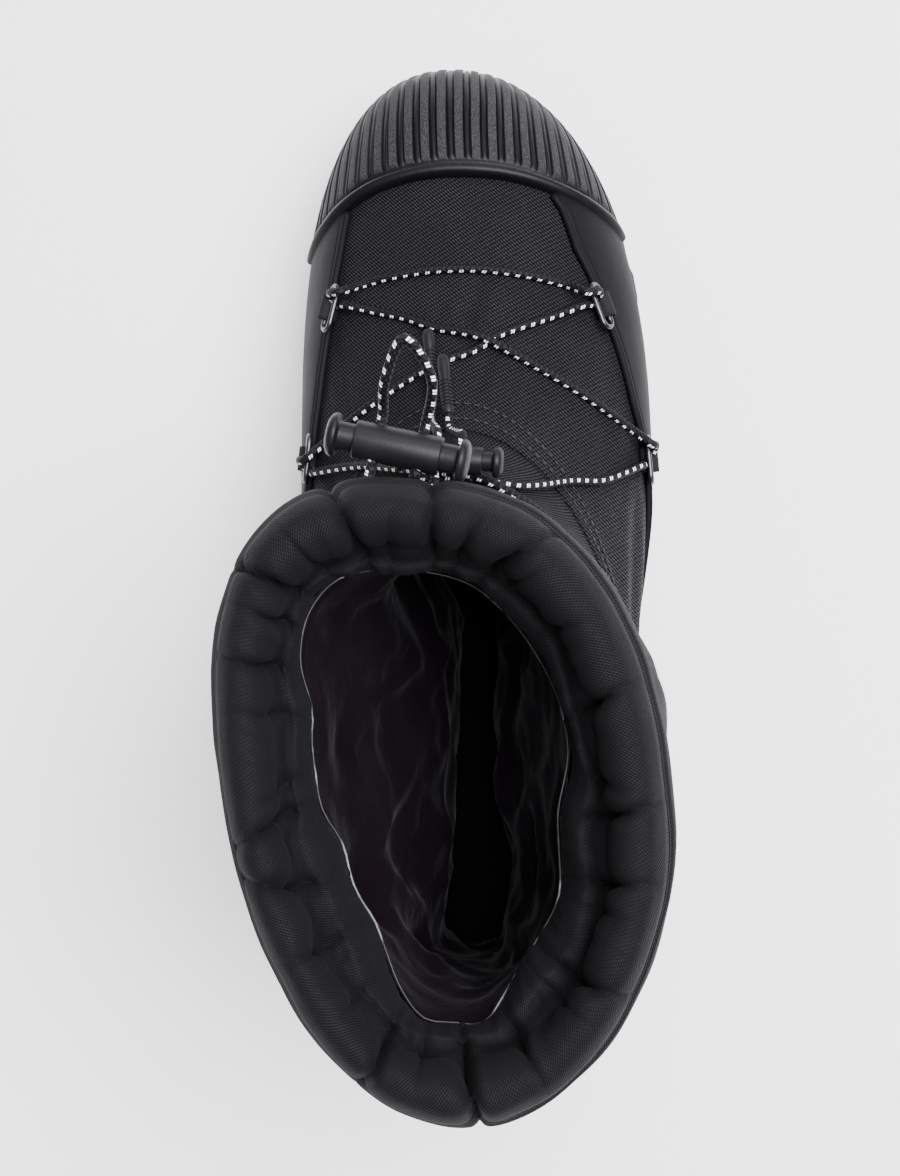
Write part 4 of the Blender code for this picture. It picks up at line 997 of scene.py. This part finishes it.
# Painted shade: each gather pinches the roll and also gets shade that darkens the twill's colour.
for at, wide, deep, lean, start in GATHERS:
    off = np.mod(cuff_degrees[None, :] - at - 1.8 * lean * (roll_share - 0.8) + 180, 360) - 180
    grown = np.clip((roll_share - start + 0.2) / 0.4, 0, 1)
    strength = grown * (1 - 0.75 * np.clip((roll_share - 1.0) / 0.12, 0, 1))
    opening = 0.35 + 0.75 * grown
    near = np.exp(-np.abs(off / (wide * opening)) ** 1.2) * strength
    pinch += 1.9 * deep * near
    shade = np.maximum(shade, near * min(1.0, 0.3 + deep / 2.6))
    puff += 0.05 * deep * np.exp(-((np.abs(off) - 4 * wide) / (2.5 * wide)) ** 2) * strength
across_roll = np.stack(np.broadcast_arrays(
    np.cos(cuff_angles)[None, :] * 60, np.sin(cuff_angles)[None, :] * 60, roll_share * 14 + np.zeros_like(shade)), -1)
wrinkle = rumple(across_roll, 7.5, 4.9)
inner_half = np.clip((roll_share - 0.45) / 0.4, 0, 1)
pinch += (1.5 * np.clip(wrinkle - 0.05, 0, 1) + 0.5 * rumple(across_roll, 4.0, 8.8)) * inner_half
fold_line = FOLD_AT + 0.05 * rumple(across_roll, 16, 0.4)
# Painted shade along the fold at the roll's inner edge.
shade = np.maximum(shade, 0.75 * np.exp(-((roll_share - fold_line) / 0.035) ** 2))
pinch += 1.3 * np.exp(-((roll_share - fold_line) / 0.05) ** 2)
for seam_at in CHANNEL_ROWS:
    pinch += 0.45 * np.exp(-((roll_share - seam_at) / 0.012) ** 2) * np.clip(np.sin(cuff_angles) * 3, 0, 1)[None, :]
fade = np.sin(math.pi * np.clip(np.arange(rounds) / rounds, 0, 1)) ** 0.4
relief = (puff - pinch) * fade[:, None]
inward, height = outline[:, 0], outline[:, 1]
d_in, d_up = np.roll(inward, -1, 0) - np.roll(inward, 1, 0), np.roll(height, -1, 0) - np.roll(height, 1, 0)
size = np.maximum(np.hypot(d_in, d_up), 1e-6)
normal_in, normal_up = -d_up / size, d_in / size
inward, height = inward + normal_in * relief, height + normal_up * relief


def mouth_points(degrees, inward, height):
    """Points at a depth inside the shaft's face, and a height."""
    place = last_point(np.radians(degrees), CUFF_FOOT, -inward)
    place[..., 2] = height
    return place


cuff_rows = np.array([mouth_points(cuff_degrees, a, b) for a, b in zip(inward, height)])
centre_line = cuff_rows.mean(axis=0)
bumpy = 1.1 * rumple(cuff_rows, 34, 2.2) + 0.5 * rumple(cuff_rows, 12, 7.1)
in_mouth = np.clip((roll_share - 0.85) / 0.2, 0, 1)
bumpy += in_mouth * (2.6 * rumple(cuff_rows, 17, 5.3, (1, 1, 0.5)) + 1.2 * rumple(cuff_rows, 7, 1.9, (1, 1, 0.5)))
away = cuff_rows - centre_line
away /= np.maximum(np.linalg.norm(away, axis=-1, keepdims=True), 1e-6)
cuff_rows = cuff_rows + away * (bumpy * fade[:, None])[..., None]
cuff_rows[..., 0] += heel_draw(cuff_rows, np.clip((1.1 - roll_share) / 0.5, 0, 1))
cuff_rows = np.concatenate([cuff_rows, cuff_rows[:1]])
twill = Finish("cuff twill", Sheen_Weight=0.01, Sheen_Roughness=0.5, Specular_IOR_Level=0.08)
weave(twill, 0.75, 0.8, dark=(0.0026, 0.0024, 0.0030), light=(0.0082, 0.0077, 0.0092), depth=0.12)
# Painted shade: the fold attribute holds the painted shade of the gathers and the inner fold, mixed towards near black.
painted_fold_shade = twill.node("Attribute", {"attribute_name": "fold"}, out="Fac")
woven = Tone(twill.tree, twill.shader.inputs["Base Color"].links[0].from_socket)
twill.set(Base_Color=twill.blend(painted_fold_shade, woven, (0.0008, 0.0008, 0.0010)))
cuff = surface("puffy_cuff", cuff_rows, twill)
fold = cuff.data.attributes.new("fold", "FLOAT", "POINT")
fold.data.foreach_set("value", np.concatenate([shade, shade[:1]]).reshape(-1))
fit(cleaned(cuff, merge=SAME_PLACE, outward=False), "shaft", "cuff")

# ---------------------------------------------------------------- lining
# Thin plum-black lining cloth with a soft shine. It hangs loose from the facing down to the footbed and lies in big
# crumpled folds, and a light piping covers its seam with the facing; painted shade darkens most of the piping's length.
LINING_DEPTH = (  # share of the way up, ring of the last, how far inside it at the sides, at the ends, squeeze
    (0.00, 0.6, 20.0, 9.0, 0.90), (0.12, 1.6, 20.0, 9.0, 0.97), (0.30, 4.0, 20.0, 9.0, 0.96),
    (0.50, 7.5, 19.0, 10.0, 0.82), (0.70, 9.6, 18.0, 13.0, 0.46), (0.85, 11.0, 17.5, 17.0, 0.16),
    (1.00, 12.0, 21.0, 20.0, 0.0),
)
SLIT = (-4.5, 7.5)  # where the folds of the two sides hang closest over the footbed
LINING_ROWS, LINING_COLUMNS, PIPING = 130, 420, 0.28  # the last is the piping's radius
lining_angles = turn(LINING_COLUMNS)
lining_degrees = np.degrees(lining_angles)
up = np.linspace(0, 1, LINING_ROWS)[:, None]
table = np.array(LINING_DEPTH)
rings, side_in, end_in, squeeze = (np.interp(up[:, 0], table[:, 0], table[:, i])[:, None] for i in (1, 2, 3, 4))
sidewise = np.sin(lining_angles)[None, :]
depth = end_in + (side_in - end_in) * np.abs(sidewise) ** 1.6
base = last_point(lining_angles[None, :], rings, 0.0)
toe_share = np.clip((base[..., 1] - 70) / 60, 0, 1)
depth = depth * (1 - toe_share * (1 - up) * 0.75) + 4.0 * toe_share * (1 - up)
walls = last_point(lining_angles[None, :], rings, -depth)
drape = rumple(walls, 27, 4.4, (1.0, 1.0, 0.8))
crumple = 1 - 2.2 * np.hypot(rumple(walls + 9 * drape[..., None], 21, 9.2), 0.11)
fine_crumple = 1 - 2.2 * np.hypot(rumple(walls + 5 * drape[..., None], 11, 2.7), 0.11)
slack = np.sin(math.pi * np.clip(up, 0, 1)) ** 0.5
fold_depth = (6.0 * drape + 3.4 * crumple + 0.6 * fine_crumple) * slack
hang = up ** 8
mouth_in, mouth_low = around_mouth(1, lining_degrees), around_mouth(2, lining_degrees)
inset = (depth + fold_depth) * (1 - hang) + (mouth_in - 0.3)[None, :] * hang
walls = last_point(lining_angles[None, :], rings, -inset)
middle = np.where(sidewise < 0, SLIT[0], SLIT[1])
squeeze = squeeze * np.abs(sidewise) ** 0.45 * (1 - 0.8 * toe_share) * (1 - hang)
walls[..., 0] += (middle - walls[..., 0] - 0.75 * fold_depth * np.sign(sidewise)) * squeeze
walls[..., 2] += (1 - up) ** 6 * 3.0
walls[..., 2] = walls[..., 2] * (1 - hang) + (mouth_low[None, :] + 0.3) * hang
lining_cloth = Finish("plum black lining", Sheen_Weight=0.02, Sheen_Roughness=0.35, Specular_IOR_Level=0.2)
shimmer = lining_cloth.speckle(55, 4.0)
lining_cloth.set(
    Base_Color=lining_cloth.blend(shimmer, (0.0030, 0.0017, 0.0029), (0.0068, 0.0042, 0.0064)),
    Roughness=0.30 + 0.14 * shimmer,
)
lining_cloth.relief((lining_cloth.speckle(110, 3.0, 0.5), 0.8), (lining_cloth.speckle(600, 2.0), 0.05))
lining = surface("loose_lining", walls, lining_cloth, inside=True)
fit(lining, "shaft")

# Painted shade: the light grey piping is darkened to near black except in scattered noise patches.
piping_grey = Finish("piping", Roughness=0.6)
piping_grey.set(Base_Color=piping_grey.blend(
    piping_grey.speckle(60, 4.0).ramp(0.50, 0.60), (0.004, 0.004, 0.005), (0.11, 0.11, 0.115)))
pipe_degrees = np.linspace(-180, 180, 400, endpoint=False)
pipe_line = mouth_points(
    pipe_degrees, around_mouth(1, pipe_degrees) + 0.3, around_mouth(2, pipe_degrees) + 0.2
)
piping = tube("mouth_piping", pipe_line, PIPING, piping_grey, sides=8, closed=True)
fit(piping, "shaft")

# ---------------------------------------------------------------- cord locks
# Two cord locks of matt black plastic. Each is a barrel with two cord holes and a sprung button in each end, on a
# short neck, with a domed flange to press. The larger sits on the cuff's cord, the smaller on the lace.
CUFF_LOCK_AT, CUFF_LOCK_TURN = (-13.1, 116.5, 200.3), -12.2
CUFF_LOCK = {"half": 10.6, "radius": 4.7, "neck": 3.5, "gap": 4.2, "flange": 5.5, "holes": 5.3, "bore": 4.1}
LACE_LOCK_AT, LACE_LOCK_TURN = (-4.0, 120.2, 142.0), -4.0
LACE_LOCK = {"half": 9.4, "radius": 3.9, "neck": 2.7, "gap": 3.0, "flange": 4.4, "holes": 3.4, "bore": 4.7}
FLANGE_THICK, STEM_IN = 2.9, 1.2
BORE_GAP, TRAVEL = 0.4, 1.6

lock_plastic = Finish("lock plastic", Specular_IOR_Level=0.14)
mould = lock_plastic.speckle(1400, 2.0)
haze = lock_plastic.speckle(120, 3.0)
lock_plastic.set(
    Base_Color=lock_plastic.blend(haze, (0.004, 0.004, 0.0043), (0.009, 0.009, 0.0097)),
    Roughness=0.34 + 0.16 * haze,
)
lock_plastic.relief((mould, 0.04))


def lathe(name, profile, centre, axis, finish, steps=56):
    """A turned piece from a profile of radius and distance along its axis, closed at both ends."""
    axis = unit(axis)
    side = unit(np.cross(axis, (0.1, 0.2, 1.0)))
    other = np.cross(axis, side)
    turns = np.arange(steps) * 2 * math.pi / steps
    ring = np.cos(turns)[:, None] * side + np.sin(turns)[:, None] * other
    rows = np.array([np.asarray(centre) + axis * at + ring * max(radius, 0.0) for radius, at in profile])
    made = cleaned(surface(name, rows, finish), merge=2 * SAME_PLACE)
    made.data.set_sharp_from_angle(angle=math.radians(50))
    return made


def rounded(points, radius=0.35, steps=4):
    """A profile with its corners rounded, except its two ends."""
    points = [np.array(point, float) for point in points]
    found = [points[0]]
    for a, b, c in zip(points, points[1:], points[2:]):
        reach = min(radius, np.linalg.norm(a - b) * 0.45, np.linalg.norm(c - b) * 0.45)
        p, q = b + unit(a - b) * reach, b + unit(c - b) * reach
        for t in np.linspace(0, 1, steps + 1):
            found.append((1 - t) ** 2 * p + 2 * t * (1 - t) * b + t * t * q)
    return found + [points[-1]]


def lock_frame(centre, turned_by):
    axis = np.array([math.cos(math.radians(turned_by)), math.sin(math.radians(turned_by)), 0.0])
    return np.array(centre), axis, np.array([-axis[1], axis[0], 0.0])


def make_lock(name, lock, centre, turned_by, node):
    centre, axis, through = lock_frame(centre, turned_by)
    half, radius, bore = lock["half"], lock["radius"], lock["neck"] + BORE_GAP
    deep = half - STEM_IN - TRAVEL - 0.3
    barrel = lathe(name + "_barrel_shell", rounded([
        (0, deep), (bore, deep), (bore, half), (radius, half), (radius, -half), (bore, -half), (bore, -deep),
        (0, -deep),
    ], 0.6), centre, axis, lock_plastic)
    drills = []
    for side in (1, -1):
        middle = centre + axis * side * lock["holes"]
        drill = lathe("drill", [(0, -12), (lock["bore"] / 2, -12), (lock["bore"] / 2, 12), (0, 12)], middle, through,
                      lock_plastic, 28)
        hole = barrel.modifiers.new("cord hole", "BOOLEAN")
        hole.object, hole.operation, hole.solver = drill, "DIFFERENCE", "EXACT"
        drills.append(drill)
    plain = settled(barrel)
    barrel.modifiers.clear()
    barrel.data = plain
    plain.shade_smooth()
    plain.set_sharp_from_angle(angle=math.radians(40))
    for drill in drills:
        bpy.data.objects.remove(drill)
    fit(barrel, "plastic", node + "_barrel")
    top = lock["gap"] + STEM_IN
    flange, neck = lock["flange"], lock["neck"]
    for side, word in ((1, "lateral"), (-1, "medial")):
        button = lathe(f"{name}_press_{word}", [(0, top + FLANGE_THICK), *rounded([
            (flange * 0.25, top + FLANGE_THICK), (flange * 0.62, top + FLANGE_THICK * 0.97),
            (flange * 0.9, top + FLANGE_THICK * 0.72), (flange, top + FLANGE_THICK * 0.36),
            (flange * 0.97, top + 0.1), (neck + 0.5, top), (neck + 0.05, top - 0.35),
            (neck, 0),
        ], 0.5), (0, 0)], centre + axis * side * (half - STEM_IN), axis * side, lock_plastic)
        fit(button, "plastic", f"{node}_button_{word}", body=f"{node.split('_')[0]}_button_{word}")


make_lock("cuff_lock", CUFF_LOCK, CUFF_LOCK_AT, CUFF_LOCK_TURN, "cuff_lock")
make_lock("lace_lock", LACE_LOCK, LACE_LOCK_AT, LACE_LOCK_TURN, "lace_lock")

# ---------------------------------------------------------------- lace
# One round elastic cord, braided black with pairs of white reflective flecks. It runs through its rings from side
# to side, crosses twice, and goes through the lace lock to two moulded tips.
CORD = 2.6
LACE_BACK = (  # between the second and third rings, under the cuff: degrees, ring of the last, height
    ((-36, 7.75, 1.9), (-18, 8.6, 1.9), (-2, 9.3, 3.6), (8, 9.5, 4.6), (18, 9.55, 3.4), (32, 9.4, 1.9),
     (52, 8.9, 1.8), (70, 8.0, 1.8)),
    ((56, 6.9, 1.8), (42, 7.7, 1.6), (22, 8.9, 1.5), (4, 9.3, 1.5), (-20, 9.2, 1.8), (-45, 8.75, 1.8),
     (-66, 7.9, 1.8)),
)
LACE_RETURN = ((84, 7.5, 2.4), (64, 9.2, 2.2), (42, 9.95, 2.6), (29, 10.05, 3.4))
VAMP_LIFT = 1.55  # the cord's middle line over the vamp
TIPS = {-1: ((-12.4, 164.0, 99.5), (-10.6, 146.0, 104.5)), 1: ((-7.6, 155.0, 106.5), (-5.4, 136.0, 114.5))}
TIP_RUNS = {-1: (-10.0, 133.0, 124.0), 1: (-1.5, 128.5, 130.0)}
FLECK_PITCH, TIP_GRIPS = 3.5, 9

braid = Finish("reflective braid", Roughness=0.6, Specular_IOR_Level=0.15)
twist = ((braid.across * 6.0 + braid.along * 0.55).fraction() - 0.5).size() * 2
counter = ((braid.across * 6.0 - braid.along * 0.55).fraction() - 0.5).size() * 2
strand = twist * counter
fleck = 0
for row, shift in ((0.10, 0.0), (0.60, 0.45)):
    place_along = ((braid.along / FLECK_PITCH + braid.across * 0.6 + shift).fraction() - 0.5).size() * FLECK_PITCH
    place_round = ((braid.across - row + 1.5).fraction() - 0.5).size() * (math.pi * CORD)
    slit = place_along.ramp(0.10, 0.18)
    mark = (1 - place_along.ramp(0.55, 0.68)) * (1 - place_round.ramp(0.50, 0.66)) * slit
    fleck = mark + fleck
black = braid.blend(strand, (0.0012, 0.0012, 0.0014), (0.0055, 0.0055, 0.0062))
braid.set(Base_Color=braid.blend(fleck, black, (0.90, 0.90, 0.89)))
braid.relief((strand, 0.25))


def strand_knots(knots, mirrored=1):
    knots = np.array(knots, float)
    return list(skin(np.radians(knots[:, 0] * mirrored), knots[:, 1], knots[:, 2]))


def over_vamp(x, y, lift):
    """A point over the vamp by its place in plan, lifted off the last."""
    rings = np.linspace(1.5, 10.0, 200)
    rings = rings[smooth_column(LAST["front_y"], rings) > y + 0.1]
    side = 1 if x > last_point(0.0, rings[-1])[0] else -1
    across = last_point(angle_at(y, rings, side), rings)[:, 0] * side
    ring = float(np.interp(-x * side, -across, rings))
    return skin(float(angle_at(y, ring, side)), ring, lift)


def stretch(start, end, bow=0.0, over=None, flat=1.0):
    """A taut strand over the vamp between two points in plan. over is the share at which it crosses another."""
    start, end = np.array(start[:2]), np.array(end[:2])
    way = end - start
    aside = np.array([-way[1], way[0]]) / np.linalg.norm(way)
    line = []
    for t in np.linspace(0, 1, 11)[1:-1]:
        x, y = start + way * t + aside * bow * math.sin(math.pi * t) ** flat
        hump = CORD * math.exp(-((t - over) * np.linalg.norm(way) / 6.5) ** 2) if over else 0.0
        line.append(over_vamp(x, y, VAMP_LIFT + hump))
    return line


def round_ring(number, side, comes, leaves):
    """The lace's turn round the top wire of a ring: over it, down through the ring, and back under the wire."""
    top, out, outward, along = ring_tops[number, side]
    reach = RING_WIRE / 2 + CORD / 2 + 0.1
    return [
        top + out * (reach + 2.4) + outward * 1.3 + along * comes,
        top + outward * reach + along * comes * 0.92,
        top - out * reach * 0.72 + outward * reach * 0.6 + along * (comes * 0.7 + leaves * 0.3),
        top - out * reach * 0.95 - outward * 0.3 + along * (comes * 0.4 + leaves * 0.6),
        top - out * reach * 0.5 - outward * reach * 0.85 + along * leaves * 0.95,
        top + out * (reach + 1.6) - outward * reach * 0.95 + along * leaves,
    ]


third_out, third_in = round_ring(3, 1, 1.0, -1.0), round_ring(3, -1, 1.0, -1.0)
second_in = round_ring(2, -1, -1.0, -4.4)
first_out, first_in = round_ring(1, 1, 4.6, 1.6), round_ring(1, -1, 4.6, 1.6)
second_out = round_ring(2, 1, 4.4, -2.0)
run = third_out[::-1] + strand_knots(LACE_BACK[0])[::-1] + second_in[::-1]
run += stretch(second_in[0], first_out[-1], 3.8)
run += first_out[::-1]
run += stretch(first_out[0], first_in[0], -6.6, flat=0.7)
run += first_in + stretch(first_in[-1], second_out[0], 5.2, 0.44) + second_out
run += strand_knots(LACE_BACK[1]) + third_in
fit(tube("lace", flow(run), CORD / 2, braid), "cord", "lace_bar", "lace_cross_front", "lace_cross_back")

lock_centre, lock_axis, lock_through = lock_frame(LACE_LOCK_AT, LACE_LOCK_TURN)
for side, word in ((1, "lateral"), (-1, "medial")):
    hole = lock_centre + lock_axis * side * LACE_LOCK["holes"]
    behind, rear, front, ahead = (hole + lock_through * step for step in (-6.8, -4.2, 3.0, 6.5))
    tip_end, tip_start = (np.array(point) for point in TIPS[side])
    heading = unit(tip_end - tip_start)
    knots = [
        (third_out if side > 0 else third_in)[-1], *strand_knots(LACE_RETURN, side), behind, rear, front, ahead,
        np.array(TIP_RUNS[side]), tip_start - heading * 4, tip_start + heading * 0.6,
    ]
    end_line = flow(knots)
    end = tube(f"lace_end_{word}_cord", end_line, CORD / 2, braid)
    tip_length = float(np.linalg.norm(tip_end - tip_start)) - 0.4
    profile = [(0, 0), (1.5, 0.0), (1.75, 0.5)]
    for k in range(TIP_GRIPS):
        at = 1.6 + k * 1.15
        profile += [(1.92, at), (1.92, at + 0.55), (1.6, at + 0.75), (1.6, at + 0.98)]
    profile += [(1.95, tip_length - 5.2), (1.98, tip_length - 2.0), (1.6, tip_length - 0.5), (0.9, tip_length),
                (0, tip_length)]
    tip = lathe(f"lace_tip_{word}_grip", profile, tip_start + heading * 0.4, heading, lock_plastic, 24)
    fit(tip, "plastic", "lace_tip_" + word)
    fit(end, "cord", "lace_end_" + word)

# ---------------------------------------------------------------- cuff cord
# The same cord in the cuff's channel: it comes out at the front, goes through the larger lock, and stands forward
# in one loop.
DRAWCORD_BACK = {-1: 9.5, 1: 6.3}
DRAWCORD_LOOP = ((-15.5, 132.0, 208.0), (-10.5, 140.5, 214.0), (-4.5, 132.0, 209.0))
lock_centre, lock_axis, lock_through = lock_frame(CUFF_LOCK_AT, CUFF_LOCK_TURN)
legs = []
for side in (-1, 1):
    hole = lock_centre + lock_axis * side * CUFF_LOCK["holes"]
    legs.append([hole - lock_through * DRAWCORD_BACK[side], hole - lock_through * 2.0, hole + lock_through * 2.0,
                 hole + lock_through * 7.0])
draw_line = flow(legs[0] + [np.array(point) for point in DRAWCORD_LOOP] + legs[1][::-1])
drawcord = tube("cuff_drawcord", draw_line, CORD / 2, braid)
fit(drawcord, "cord", "drawcord")
